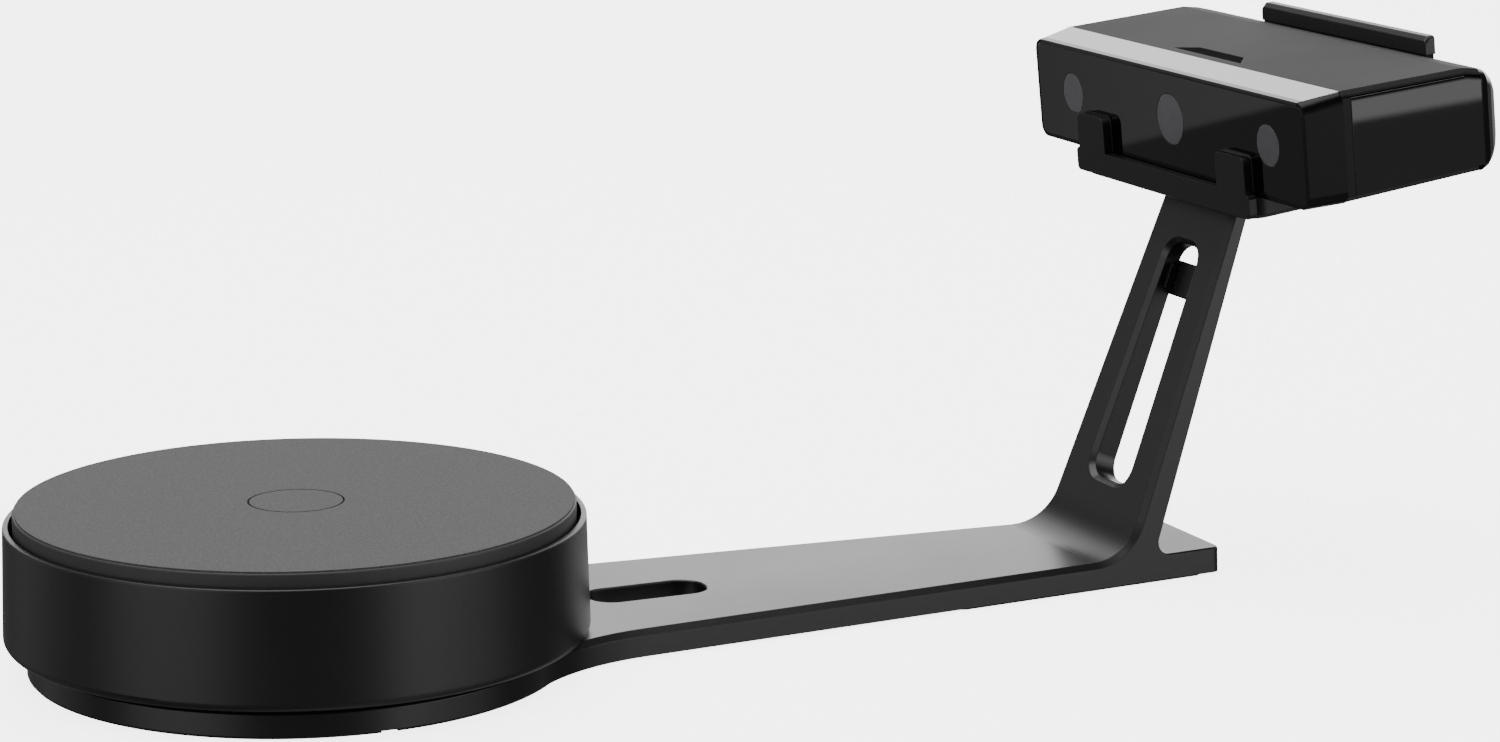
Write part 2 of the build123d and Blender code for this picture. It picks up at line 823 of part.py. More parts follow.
with BuildPart() as gear_screws:
    with BuildSketch(turntable_plane(web_base)):
        with PolarLocations(gear_boss_ring, gear_boss_count, start_angle=gear_boss_angle):
            Circle(screw_head_radius)
    extrude(amount=-screw_head_height)
    with BuildSketch(turntable_plane(web_base)):
        with PolarLocations(gear_boss_ring, gear_boss_count, start_angle=gear_boss_angle):
            Circle(screw_radius)
    extrude(amount=gear_web + screw_tail)
save(gear_screws, "gear_screws")

with BuildPart() as motor_screws:
    with BuildSketch(around(motor_ring, motor_angle, motor_top + bracket_thickness)):
        with GridLocations(motor_screw_pitch, motor_screw_pitch, 2, 2):
            Circle(screw_head_radius)
    extrude(amount=low_head_height)
    with BuildSketch(around(motor_ring, motor_angle, motor_top + bracket_thickness)):
        with GridLocations(motor_screw_pitch, motor_screw_pitch, 2, 2):
            Circle(screw_radius)
    extrude(amount=-bracket_thickness - screw_tail)
save(motor_screws, "motor_screws")

with BuildPart() as bracket_screws:
    with BuildSketch(around(motor_ring, motor_angle, chassis_top + bracket_thickness)):
        with GridLocations(0, 2 * foot_middle, 1, 2):
            Circle(screw_head_radius)
    extrude(amount=screw_head_height)
    with BuildSketch(around(motor_ring, motor_angle, chassis_top + bracket_thickness)):
        with GridLocations(0, 2 * foot_middle, 1, 2):
            Circle(screw_radius)
    extrude(amount=-bracket_thickness - chassis_thickness + screw_spare)
save(bracket_screws, "bracket_screws")

pinion_phase = radians(motor_angle) + pi + pi / pinion_teeth
with BuildPart() as motor_pinion:
    with BuildSketch(Plane(origin=around(motor_ring, motor_angle, gear_base).origin)):
        with BuildLine():
            Polyline(*gear_points(pinion_teeth, gear_backlash, pinion_phase), close=True)
        make_face()
        Circle(shaft_radius, mode=Mode.SUBTRACT)
    extrude(amount=gear_face)
save(motor_pinion, "motor_pinion")

with BuildPart() as motor_shaft:
    with BuildSketch(around(motor_ring, motor_angle, motor_top - motor_height / 2 + running_gap)):
        Circle(shaft_radius)
    extrude(amount=gear_top + shaft_proud - (motor_top - motor_height / 2 + running_gap))
save(motor_shaft, "motor_shaft")

with BuildPart() as control_board:
    board_z = chassis_top + standoff_height
    with BuildSketch(around(board_ring, board_angle, board_z)):
        Rectangle(board_width, board_length)
    extrude(amount=board_thickness)
    with BuildSketch(around(board_ring, board_angle, board_z + board_thickness)):
        with Locations(driver_place):
            Rectangle(driver_chip, driver_chip)
        with Locations(*small_chip_places):
            Rectangle(small_chip_length, small_chip_width)
    extrude(amount=chip_height)
    with BuildSketch(around(board_ring, board_angle, board_z + board_thickness)):
        with Locations((0, board_length / 2 - header_inset)):
            Rectangle(header_length, header_width)
    extrude(amount=header_height)
save(control_board, "control_board")

# ---------------------------------------------------------------- turntable: platter
with BuildPart() as platter:
    with BuildSketch(turntable_plane(platter_top - platter_skirt)):
        Circle(platter_radius)
    extrude(amount=platter_skirt)
    with BuildSketch(turntable_plane(platter_top - platter_skirt)):
        Circle(platter_radius - platter_wall)
    extrude(amount=platter_skirt - platter_plate, mode=Mode.SUBTRACT)
    with BuildSketch(turntable_plane(platter_top - platter_plate)):
        with PolarLocations(0, rib_count):
            with Locations(((platter_radius - platter_wall) / 2, 0)):
                Rectangle(platter_radius - platter_wall, rib_width)
    extrude(amount=-rib_height)
    with BuildSketch(turntable_plane(web_top)):
        with PolarLocations(gear_boss_ring, gear_boss_count, start_angle=gear_boss_angle):
            Circle(gear_boss)
    extrude(amount=platter_top - platter_plate - web_top)
    with BuildSketch(turntable_plane(platter_top - platter_plate)):
        Circle(gear_hub_radius)
    extrude(amount=-hub_boss_height)
    with BuildSketch(turntable_plane(platter_top - platter_plate)):
        Circle(spindle_radius)
    extrude(amount=-hub_boss_height, mode=Mode.SUBTRACT)
    with BuildSketch(turntable_plane(platter_top)):
        Circle(cap_radius + cap_gap)
    extrude(amount=-(cap_depth - mat_thickness), mode=Mode.SUBTRACT)
    with BuildSketch(turntable_plane(web_top)):
        with PolarLocations(gear_boss_ring, gear_boss_count, start_angle=gear_boss_angle):
            Circle(screw_radius)
    extrude(amount=screw_tail + screw_spare, mode=Mode.SUBTRACT)
    rim_edges = platter.edges().filter_by(GeomType.CIRCLE).group_by(Axis.Z)[-1]
    fillet(rim_edges.sort_by(SortBy.RADIUS)[-1], radius=platter_edge)
save(platter, "platter")

with BuildPart() as platter_mat:
    with BuildSketch(turntable_plane(platter_top)):
        Circle(platter_radius - platter_edge)
        Circle(cap_radius + cap_gap, mode=Mode.SUBTRACT)
    extrude(amount=mat_thickness)
save(platter_mat, "platter_mat")

with BuildPart() as centre_cap:
    with BuildSketch(turntable_plane(platter_top - cap_depth + mat_thickness)):
        Circle(cap_radius)
    extrude(amount=cap_depth)
save(centre_cap, "centre_cap")


# ---------------------------------------------------------------- cradle
pin_u = latch_inner + latch_thickness / 2
tray_end = head_depth - tray_margin
hook_middle = hook_inner + hook_width / 2


def tray_outline(height, inset):
    """The tray's plan at a height above the seat, narrower behind, drawn in by inset."""
    with BuildSketch(head_plane.offset(height)) as outline:
        with BuildLine():
            Polyline(
                (inset - lip_front, inset - tray_half),
                (tray_end - inset, inset - tray_back_half),
                (tray_end - inset, tray_back_half - inset),
                (inset - lip_front, tray_half - inset),
                close=True,
            )
        make_face()
        fillet(outline.vertices(), radius=tray_corner - inset)
    return outline.sketch


with BuildPart() as cradle_tray:
    add(tray_outline(-tray_depth, 0))
    extrude(amount=tray_depth - seat_gap, dir=head_plane.z_dir)
    belly = cradle_tray.faces().sort_by(Axis(head_plane.origin, head_plane.z_dir))[0]
    chamfer(belly.edges(), length=tray_chamfer)
    add(tray_outline(-seat_gap, lip_thickness))
    extrude(amount=tray_depth - tray_floor - seat_gap, dir=-head_plane.z_dir, mode=Mode.SUBTRACT)
    # front lip with two hooks that stand in front of the head's face
    with BuildSketch(head_facing(-lip_front)):
        with Locations((0, (lip_top + lip_bottom) / 2)):
            RectangleRounded(2 * lip_half, lip_top - lip_bottom, lip_corner)
        for sign in (-1, 1):
            with Locations((sign * hook_middle, (hook_height + lip_bottom / 2) / 2)):
                RectangleRounded(hook_width, hook_height - lip_bottom / 2, hook_corner)
    extrude(amount=lip_thickness)
    # lugs for the latch pin
    with BuildSketch(head_side(0)):
        with Locations((pin_u, pin_w)):
            Circle(lug_radius)
        with Locations(((pin_u + tray_end - lug_root) / 2, pin_w)):
            Rectangle(pin_u - tray_end + lug_root, 2 * lug_radius)
    extrude(amount=lug_place + lug_width / 2, both=True)
    with BuildSketch(head_facing(tray_end)):
        with Locations((0, pin_w)):
            Rectangle(2 * lug_place - lug_width, 4 * lug_radius)
    extrude(amount=pin_u, mode=Mode.SUBTRACT)
    with BuildSketch(head_side(0)):
        with Locations((pin_u, pin_w)):
            Circle(pin_radius)
    extrude(amount=tray_half, both=True, mode=Mode.SUBTRACT)
    with BuildSketch(head_plane.offset(-tray_depth)):
        with Locations(*flange_holes):
            Circle(screw_radius)
    extrude(amount=screw_tail + screw_spare, mode=Mode.SUBTRACT)
save(cradle_tray, "cradle_tray")

with BuildPart() as cradle_screws:
    with BuildSketch(head_plane.offset(-tray_depth - flange_thickness)):
        with Locations(*flange_holes):
            Circle(screw_head_radius)
    extrude(amount=-screw_head_height)
    with BuildSketch(head_plane.offset(-tray_depth - flange_thickness)):
        with Locations(*flange_holes):
            Circle(screw_radius)
    extrude(amount=flange_thickness + screw_tail)
save(cradle_screws, "cradle_screws")


def belly_height(u):
    """Height of the head's underside at depth u."""
    return bottom_rise * max(0, u - bezel_depth) / (tail_start - bezel_depth)


pad_floor = tray_floor - tray_depth
with BuildPart() as cradle_pads:
    for start in (pad_front_start, pad_rear_start):
        with BuildSketch(head_plane.offset(pad_floor)):
            with Locations((start + pad_size / 2, pad_place), (start + pad_size / 2, -pad_place)):
                RectangleRounded(pad_size, 2 * pad_size, pad_corner)
        extrude(amount=belly_height(start) - seat_gap - pad_floor)
save(cradle_pads, "cradle_pads")

with BuildPart() as rear_latch:
    window_half = latch_half - latch_leg
    bar_start = latch_inner - latch_reach
    with BuildSketch(head_facing(latch_inner)):
        with Locations((0, (latch_shoulder + latch_foot) / 2)):
            RectangleRounded(2 * latch_half, latch_shoulder - latch_foot, latch_corner)
        with Locations((0, (latch_neck_top + latch_window_top) / 2)):
            Rectangle(2 * latch_neck, latch_neck_top - latch_window_top)
        with Locations((0, (latch_window_top + latch_sill) / 2)):
            RectangleRounded(
                2 * window_half, latch_window_top - latch_sill, latch_corner, mode=Mode.SUBTRACT
            )
    extrude(amount=latch_thickness)
    with BuildSketch(head_side(0)):
        with BuildLine():
            Polyline(
                (bar_start + hook_bar_depth, latch_hook),
                (bar_start, latch_hook),
                (bar_start, latch_hook + bar_face),
                (bar_start + bar_slope, latch_top),
                (bar_start + hook_bar_depth, latch_top),
                close=True,
            )
        make_face()
    extrude(amount=hook_bar_half, both=True)
    bar_ends = rear_latch.edges().filter_by(
        lambda e: abs(abs((e @ 0.5).Y) - hook_bar_half) < touch_slack
        and head_plane.to_local_coords(e @ 0.5).Z > latch_hook + bar_face + edge_slack
    )
    fillet(bar_ends, radius=bar_corner)
    # neck between the bar and the frame
    with BuildSketch(head_plane.offset(latch_hook)):
        with Locations((bar_start + bar_lap + (latch_reach + bar_lap) / 2, 0)):
            Rectangle(latch_reach - bar_lap, 2 * latch_neck)
    extrude(amount=latch_neck_top - latch_hook)
    for sign in (-1, 1):
        with BuildSketch(head_side(sign * lug_place + lug_width / 2 + seat_gap)):
            with Locations((pin_u, pin_w)):
                Rectangle(4 * lug_radius, 2 * (lug_radius + lug_room))
        extrude(amount=lug_width + 2 * seat_gap, mode=Mode.SUBTRACT)
    with BuildSketch(head_side(0)):
        with Locations((pin_u, pin_w)):
            Circle(pin_radius + running_gap)
    extrude(amount=tray_half, both=True, mode=Mode.SUBTRACT)
save(rear_latch, "rear_latch")

with BuildPart() as latch_pin:
    with BuildSketch(head_side(0)):
        with Locations((pin_u, pin_w)):
            Circle(pin_radius)
    extrude(amount=lug_place + lug_width, both=True)
save(latch_pin, "latch_pin")


# ---------------------------------------------------------------- scanning head: outer shells
def head_section(u, inset=0.0):
    """Rounded cross-section of the head at depth u, drawn in by inset."""
    if u < bezel_depth:
        share = u / bezel_depth
        half = face_half + (head_half - face_half) * share
        high = face_height + (head_height - face_height) * share
        low = 0
    elif u <= tail_start:
        half = head_half
        high = head_height - tail_fall * max(0, u - tail_bend) / (tail_start - tail_bend)
        low = belly_height(u)
    else:
        share = (u - tail_start) / (head_depth - tail_start)
        half = head_half - tail_narrowing * share**tail_curve
        high = head_height - tail_fall - (head_height - tail_fall - rear_high) * share**tail_droop
        low = bottom_rise + (rear_low - bottom_rise) * share**tail_droop
    with BuildSketch(head_facing(u)) as section:
        with Locations((0, (high + low) / 2)):
            RectangleRounded(2 * (half - inset), high - low - 2 * inset, corner_radius - inset)
    return section.sketch


cover_under = head_height - cover_thickness
with BuildPart() as top_trim:
    with BuildSketch(head_side(0)):
        with BuildLine():
            Polyline(
                (0, face_height),
                (bezel_depth, head_height),
                (bezel_depth, head_height - trim_thickness),
                (0, face_height - trim_thickness),
                close=True,
            )
        make_face()
    extrude(amount=head_half, both=True)
    trim_front = face_half - corner_radius
    trim_back = head_half - corner_radius / 2
    with BuildSketch(head_plane):
        with BuildLine():
            Polyline(
                (0, -trim_front),
                (bezel_depth, -trim_back),
                (bezel_depth, trim_back),
                (0, trim_front),
                close=True,
            )
        make_face()
    extrude(amount=2 * head_height, mode=Mode.INTERSECT)
save(top_trim, "top_trim")

with BuildPart() as front_bezel:
    loft([head_section(0), head_section(bezel_depth)], ruled=True)
    loft(
        [head_section(panel_thickness, shell_wall), head_section(bezel_depth, shell_wall)],
        ruled=True,
        mode=Mode.SUBTRACT,
    )
    add(head_section(0, panel_margin))
    extrude(amount=panel_thickness, dir=head_plane.x_dir, mode=Mode.SUBTRACT)
    add(top_trim.part, mode=Mode.SUBTRACT)
    # cheeks that reach back to the side panels
    for sign in (-1, 1):
        with BuildSketch(head_side(sign * head_half)):
            with BuildLine():
                Polyline(
                    (bezel_depth - cheek_lap, side_low),
                    (side_start, side_low),
                    (side_start, cover_under - fit_gap),
                    (bezel_depth - cheek_lap, cover_under - fit_gap),
                    close=True,
                )
            make_face()
        extrude(amount=sign * side_thickness)
save(front_bezel, "front_bezel")

window_places = list(zip(lens_vs, (camera_window, projector_window, camera_window)))
with BuildPart() as front_panel:
    add(head_section(0, panel_margin + fit_gap))
    extrude(amount=panel_thickness, dir=head_plane.x_dir)
    with BuildSketch(head_facing(0)):
        for v, radius in window_places:
            with Locations((v, lens_height)):
                Circle(radius)
    extrude(amount=panel_thickness, mode=Mode.SUBTRACT)
save(front_panel, "front_panel")

for name, (v, radius) in zip(("right", "middle", "left"), window_places):
    with BuildPart() as window:
        with BuildSketch(head_facing(0)):
            with Locations((v, lens_height)):
                Circle(radius - fit_gap)
        extrude(amount=panel_thickness)
    save(window, f"{name}_window")


def badge_outline(inset):
    """The badge's four-sided outline on the top cover, drawn in by inset."""
    with BuildSketch(head_plane.offset(head_height - inset)) as badge:
        with BuildLine():
            Polyline(
                (badge_start + inset, 2 * inset - badge_half_front),
                (badge_end - inset, 2 * inset - badge_half_back),
                (badge_end - inset, badge_half_back - 2 * inset),
                (badge_start + inset, badge_half_front - 2 * inset),
                close=True,
            )
        make_face()
    return badge.sketch


with BuildPart() as top_cover:
    with BuildSketch(head_side(0)):
        with BuildLine():
            Polyline(
                (bezel_depth, head_height),
                (tail_bend, head_height),
                (tail_start, head_height - tail_fall),
                (tail_start, cover_under - tail_fall),
                (tail_bend, cover_under),
                (bezel_depth, cover_under),
                close=True,
            )
        make_face()
    extrude(amount=head_half - cover_margin, both=True)
    long_tops = top_cover.edges().filter_by(
        lambda e: abs(abs((e @ 0.5).Y) - head_half + cover_margin) < touch_slack
        and head_plane.to_local_coords(e @ 0.5).Z > cover_under + edge_slack
        and e.length > 2 * cover_thickness
    )
    chamfer(long_tops, length=cover_chamfer)
    add(badge_outline(0))
    extrude(amount=badge_depth, dir=-head_plane.z_dir, mode=Mode.SUBTRACT)
save(top_cover, "top_cover")

# a plain plate with nothing on it fills the recess
with BuildPart() as badge_plate:
    add(badge_outline(fit_gap))
    extrude(amount=badge_depth - fit_gap, dir=-head_plane.z_dir)
save(badge_plate, "badge_plate")

for name, sign in (("left", 1), ("right", -1)):
    with BuildPart() as side_panel:
        with BuildSketch(head_side(sign * head_half)):
            with BuildLine():
                Polyline(
                    (side_start + fit_gap, side_low),
                    (tail_start - fit_gap, bottom_rise + side_low),
                    (tail_start - fit_gap, cover_under - tail_fall - fit_gap),
                    (tail_bend, cover_under - fit_gap),
                    (side_start + fit_gap, cover_under - fit_gap),
                    close=True,
                )
            make_face()
        extrude(amount=sign * side_thickness)
        outer_tops = side_panel.edges().filter_by(
            lambda e: abs(abs((e @ 0.5).Y) - head_half) < touch_slack
            and head_plane.to_local_coords(e @ 0.5).Z > cover_under - 2 * tail_fall
        )
        fillet(outer_tops, radius=side_rounding)
    save(side_panel, f"{name}_side_panel")

inner_half = head_half - side_thickness
with BuildPart() as bottom_shell:
    with BuildSketch(head_side(0)):
        with BuildLine():
            Polyline(
                (bezel_depth, belly_height(bezel_depth)),
                (tail_start, bottom_rise),
                (tail_start, cover_under - tail_fall),
                (tail_bend, cover_under),
                (bezel_depth, cover_under),
                close=True,
            )
        make_face()
    extrude(amount=inner_half, both=True)
    lower_edges = bottom_shell.edges().filter_by(
        lambda e: abs(abs((e @ 0.5).Y) - inner_half) < touch_slack
        and head_plane.to_local_coords(e @ 0.5).Z < bottom_rise
        and e.length > head_depth / 2
    )
    chamfer(lower_edges, length=side_low - fit_gap)
    with BuildSketch(head_side(0)):
        with BuildLine():
            Polyline(
                (bezel_depth, belly_height(bezel_depth) + shell_wall),
                (tail_start, bottom_rise + shell_wall),
                (tail_start, head_height),
                (bezel_depth, head_height),
                close=True,
            )
        make_face()
    extrude(amount=inner_half - shell_wall, both=True, mode=Mode.SUBTRACT)
    with BuildSketch(head_plane.offset(shell_wall)):
        with Locations(*[(frame_screw_u, v) for v in frame_screw_vs]):
            Circle(boss_radius)
    extrude(amount=frame_seat - shell_wall)
    with BuildSketch(head_plane.offset(shell_wall)):
        with Locations(*[(u, v) for u in board_post_us for v in board_post_vs]):
            Circle(boss_radius)
    extrude(amount=board_seat - shell_wall)
    with BuildSketch(head_plane.offset(frame_seat)):
        with Locations(*[(frame_screw_u, v) for v in frame_screw_vs]):
            Circle(small_screw)
    extrude(amount=shell_wall - frame_seat, mode=Mode.SUBTRACT)
save(bottom_shell, "bottom_shell")

port_low = board_seat + board_thickness
port_middle = port_low + socket_height / 2
with BuildPart() as rear_cover:
    steps = [i / 4 for i in range(5)]
    tail = head_depth - tail_start
    hollow = tail - shell_wall
    loft([head_section(tail_start + tail * step) for step in steps], ruled=True)
    inner = [head_section(tail_start + hollow * step, shell_wall) for step in steps]
    loft(inner, ruled=True, mode=Mode.SUBTRACT)
    with BuildSketch(head_facing(head_depth)):
        with Locations((port_v, port_middle)):
            RectangleRounded(socket_width + 2 * fit_gap, socket_height + 2 * fit_gap, port_corner)
        with Locations((-port_v, port_middle)):
            RectangleRounded(socket_width + 2 * fit_gap, socket_height + 2 * fit_gap, port_corner)
        with Locations((jack_v, port_middle)):
            Circle(jack_radius + fit_gap)
        with Locations((-jack_v, button_w)):
            Circle(button_radius + button_gap)
        with Locations((0, fan_w)):
            with GridLocations(0, vent_pitch, 1, vent_count):
                SlotOverall(vent_length, vent_width)
    extrude(amount=-head_depth / 4, mode=Mode.SUBTRACT)
save(rear_cover, "rear_cover")

# ---------------------------------------------------------------- scanning head: inside
frame_back = frame_front + frame_thickness
with BuildPart() as optical_frame:
    with BuildSketch(head_facing(frame_front)):
        with Locations((0, (frame_seat + frame_top) / 2)):
            RectangleRounded(2 * frame_half, frame_top - frame_seat, frame_corner)
        for v, radius in window_places:
            with Locations((v, lens_height)):
                Circle(radius + frame_bore, mode=Mode.SUBTRACT)
    extrude(amount=frame_thickness)
    with BuildSketch(head_plane.offset(frame_seat)):
        with Locations((frame_front + foot_length / 2, 0)):
            Rectangle(foot_length, 2 * (frame_half - frame_corner))
    extrude(amount=frame_thickness)
    with BuildSketch(head_plane.offset(frame_seat)):
        with Locations(*[(frame_screw_u, v) for v in frame_screw_vs]):
            Circle(small_screw + running_gap)
    extrude(amount=frame_thickness, mode=Mode.SUBTRACT)
save(optical_frame, "optical_frame")

with BuildPart() as frame_screws:
    with BuildSketch(head_plane.offset(frame_seat + frame_thickness)):
        with Locations(*[(frame_screw_u, v) for v in frame_screw_vs]):
            Circle(2 * small_screw)
    extrude(amount=small_screw)
    with BuildSketch(head_plane.offset(frame_seat + frame_thickness)):
        with Locations(*[(frame_screw_u, v) for v in frame_screw_vs]):
            Circle(small_screw)
    extrude(amount=shell_wall - frame_seat - frame_thickness + screw_spare)
save(frame_screws, "frame_screws")

for name, (v, radius) in zip(("right", "middle", "left"), window_places):
    # barrel: a stepped tube whose flange is seated on the frame's front
    with BuildPart() as barrel:
        with BuildSketch(head_facing(barrel_front)):
            with Locations((v, lens_height)):
                Circle(radius)
        extrude(amount=frame_back - barrel_front)
        with BuildSketch(head_facing(frame_front)):
            with Locations((v, lens_height)):
                Circle(radius + 2 * frame_bore)
        extrude(amount=-frame_thickness)
        with BuildSketch(head_facing(barrel_front)):
            with Locations((v, lens_height)):
                Circle(radius - barrel_wall)
        extrude(amount=frame_back - barrel_front, mode=Mode.SUBTRACT)
        with BuildSketch(head_facing(barrel_front + lens_depth)):
            with Locations((v, lens_height)):
                Circle(radius - barrel_wall)
                Circle(radius - 2 * barrel_wall, mode=Mode.SUBTRACT)
        extrude(amount=barrel_wall)
    save(barrel, f"{name}_barrel")

    with BuildPart() as lens:
        with BuildSketch(head_facing(barrel_front + lens_depth)):
            with Locations((v, lens_height)):
                Circle(radius - barrel_wall - fit_gap)
        extrude(amount=-lens_depth / 2)
    save(lens, f"{name}_lens")

for name, v in (("right", lens_vs[0]), ("left", lens_vs[2])):
    with BuildPart() as camera_board:
        with BuildSketch(head_facing(frame_back)):
            with Locations((v, lens_height)):
                Rectangle(camera_board_side, camera_board_side)
        extrude(amount=board_thickness)
        with BuildSketch(head_facing(frame_back + board_thickness)):
            with Locations((v, lens_height)):
                Rectangle(camera_board_side / 2, camera_board_side / 2)
        extrude(amount=chip_height)
    save(camera_board, f"{name}_camera_board")

with BuildPart() as projector_module:
    with BuildSketch(head_facing(frame_back)):
        with Locations((lens_vs[1], projector_w)):
            RectangleRounded(projector_width, projector_height, projector_corner)
    extrude(amount=projector_depth)
    with BuildSketch(head_facing(frame_back + projector_depth)):
        with Locations((lens_vs[1], projector_w)):
            with GridLocations(fin_pitch, 0, fin_count, 1):
                Rectangle(fin_pitch / 2, projector_height - 2 * projector_corner)
    extrude(amount=fin_depth)
save(projector_module, "projector_module")

fan_start = frame_back + projector_depth + fin_depth
with BuildPart() as fan_frame:
    with BuildSketch(head_facing(fan_start)):
        with Locations((0, fan_w)):
            RectangleRounded(fan_side, fan_side, fan_corner)
            Circle(fan_bore, mode=Mode.SUBTRACT)
    extrude(amount=fan_depth)
    with BuildSketch(head_facing(fan_start)):
        with Locations((0, fan_w)):
            Circle(fan_hub)
            Rectangle(2 * fan_bore + strut_lap, strut_width)
            Rectangle(strut_width, 2 * fan_bore + strut_lap)
    extrude(amount=fan_back)
    with BuildSketch(head_facing(fan_start)):
        with Locations((0, fan_w)):
            Circle(axle_radius)
    extrude(amount=fan_depth - axle_short)
save(fan_frame, "fan_frame")

with BuildPart() as fan_rotor:
    rotor_start = fan_start + fan_back + seat_gap
    rotor_depth = fan_depth - fan_back - 2 * seat_gap
    with BuildSketch(head_facing(rotor_start)):
        with Locations((0, fan_w)):
            Circle(fan_hub)
            with PolarLocations(0, blade_count):
                with Locations(((fan_hub + fan_bore) / 2 - blade_tip_gap, 0)):
                    Rectangle(fan_bore - fan_hub, blade_thickness, rotation=blade_angle)
            Circle(axle_radius + running_gap, mode=Mode.SUBTRACT)
    extrude(amount=rotor_depth)
save(fan_rotor, "fan_rotor")

with BuildPart() as main_board:
    with BuildSketch(head_plane.offset(board_seat)):
        with Locations(((board_start + tail_start) / 2, 0)):
            Rectangle(tail_start - board_start, 2 * main_board_half)
    extrude(amount=board_thickness)
    with BuildSketch(head_plane.offset(port_low)):
        with Locations((board_start + processor_start, main_board_half - processor_side)):
            Rectangle(processor_side, processor_side)
        for start, inset in memory_places:
            with Locations((board_start + start, inset - main_board_half)):
                Rectangle(memory_length, memory_width)
    extrude(amount=chip_height)
save(main_board, "main_board")

mouth = head_facing(head_depth - port_inset)
data_port = data_socket(Plane(mouth.location * Location((port_v, port_middle, 0))))
save(data_port, "data_port")
stand_port = data_socket(Plane(mouth.location * Location((-port_v, port_middle, 0))))
save(stand_port, "stand_port")

with BuildPart() as power_jack:
    with BuildSketch(mouth):
        with Locations((jack_v, port_middle)):
            Circle(jack_radius)
    extrude(amount=-socket_depth)
    with BuildSketch(mouth):
        with Locations((jack_v, port_middle)):
            Circle(jack_bore)
    extrude(amount=-socket_bore_depth, mode=Mode.SUBTRACT)
    with BuildSketch(mouth.offset(-socket_bore_depth)):
        with Locations((jack_v, port_middle)):
            Circle(jack_pin)
    extrude(amount=socket_bore_depth - pin_short)
save(power_jack, "power_jack")

with BuildPart() as power_button:
    with BuildSketch(head_facing(head_depth - shell_wall - button_flange - fit_gap)):
        with Locations((-jack_v, button_w)):
            Circle(button_radius + button_lip)
    extrude(amount=button_flange)
    with BuildSketch(head_facing(head_depth - shell_wall - button_flange - fit_gap)):
        with Locations((-jack_v, button_w)):
            Circle(button_radius)
    extrude(amount=shell_wall + button_flange + fit_gap + button_proud)
save(power_button, "power_button")

with BuildPart() as button_switch:
    switch_face = head_depth - shell_wall - button_flange - fit_gap - button_travel - seat_gap
    with BuildSketch(head_plane.offset(port_low)):
        with Locations((switch_face - switch_depth / 2, -jack_v)):
            Rectangle(switch_depth, switch_width)
    extrude(amount=button_w - port_low + switch_rise)
save(button_switch, "button_switch")
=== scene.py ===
import math

import bpy
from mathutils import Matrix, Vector


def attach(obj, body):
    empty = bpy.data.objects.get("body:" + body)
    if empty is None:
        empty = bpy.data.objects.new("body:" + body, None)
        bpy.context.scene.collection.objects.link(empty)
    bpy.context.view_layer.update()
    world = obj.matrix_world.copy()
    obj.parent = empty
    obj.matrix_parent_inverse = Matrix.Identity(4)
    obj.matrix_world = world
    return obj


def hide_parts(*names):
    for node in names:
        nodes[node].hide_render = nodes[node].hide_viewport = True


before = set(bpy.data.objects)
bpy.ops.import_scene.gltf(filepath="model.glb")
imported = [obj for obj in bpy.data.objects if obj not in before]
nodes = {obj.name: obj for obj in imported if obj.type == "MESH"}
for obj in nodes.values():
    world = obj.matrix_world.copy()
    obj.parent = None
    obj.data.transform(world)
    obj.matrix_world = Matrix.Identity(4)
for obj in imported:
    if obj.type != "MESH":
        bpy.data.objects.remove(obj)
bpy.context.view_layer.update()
print("frame loaded:", len(nodes), "nodes")

# where the scanning head stands and how far it leans back; its own pieces are placed from here
headFrame = {
    "footX": 0.185824,  # m, the front foot of the head
    "footZ": 0.156,
    "tilt": 6.0,  # degrees
}
smoothAngle = 35  # degrees; flatter edges than this are shaded smooth


# sRGB hex to the linear colour that Blender's sockets want
def toLinear(hexColour, alpha=1.0):
    values = [int(hexColour[i : i + 2], 16) / 255 for i in (1, 3, 5)]
    return [v / 12.92 if v <= 0.04045 else ((v + 0.055) / 1.055) ** 2.4 for v in values] + [alpha]


# the colour of a surface, darker and lighter by a share of itself
def shadesOf(hexColour, share):
    base = toLinear(hexColour)[:3]
    return [c * (1 - share) for c in base] + [1.0], [min(1.0, c * (1 + share)) for c in base] + [1.0]


# one node with its settings; an input is linked where a socket is given, and set where a value is
def addNode(tree, kind, inputs=None, **settings):
    node = tree.nodes.new(kind)
    for name, value in settings.items():
        setattr(node, name, value)
    for name, value in (inputs or {}).items():
        if isinstance(value, bpy.types.NodeSocket):
            tree.links.new(value, node.inputs[name])
        else:
            node.inputs[name].default_value = value
    return node


def startMaterial(name):
    material = bpy.data.materials.new(name)
    material.use_nodes = True
    tree = material.node_tree
    tree.nodes.clear()
    place = addNode(tree, "ShaderNodeTexCoord").outputs["Object"]
    return material, tree, place


def finishMaterial(material, tree, shader):
    addNode(tree, "ShaderNodeOutputMaterial", {"Surface": shader.outputs[0]})
    return material


# the camera stands where the photograph was taken from
cameraView = {
    "place": (-0.63135, -1.39630, 0.42009),
    "turn": 24.517,  # degrees from straight along +Y towards +X
    "tilt": 12.072,  # degrees down
    "lens": 99.794,  # mm on a sensor of the next width
    "sensor": 36.0,
    "nearest": 0.05,
    "farthest": 60.0,
}


def addCamera(values):
    data = bpy.data.cameras.new("photoCamera")
    data.sensor_width = values["sensor"]
    data.lens = values["lens"]
    data.clip_start = values["nearest"]
    data.clip_end = values["farthest"]
    camera = bpy.data.objects.new("photoCamera", data)
    camera.location = values["place"]
    camera.rotation_euler = (
        math.radians(90 - values["tilt"]), 0, -math.radians(values["turn"])
    )
    bpy.context.scene.collection.objects.link(camera)
    bpy.context.scene.camera = camera


addCamera(cameraView)
print("camera set")

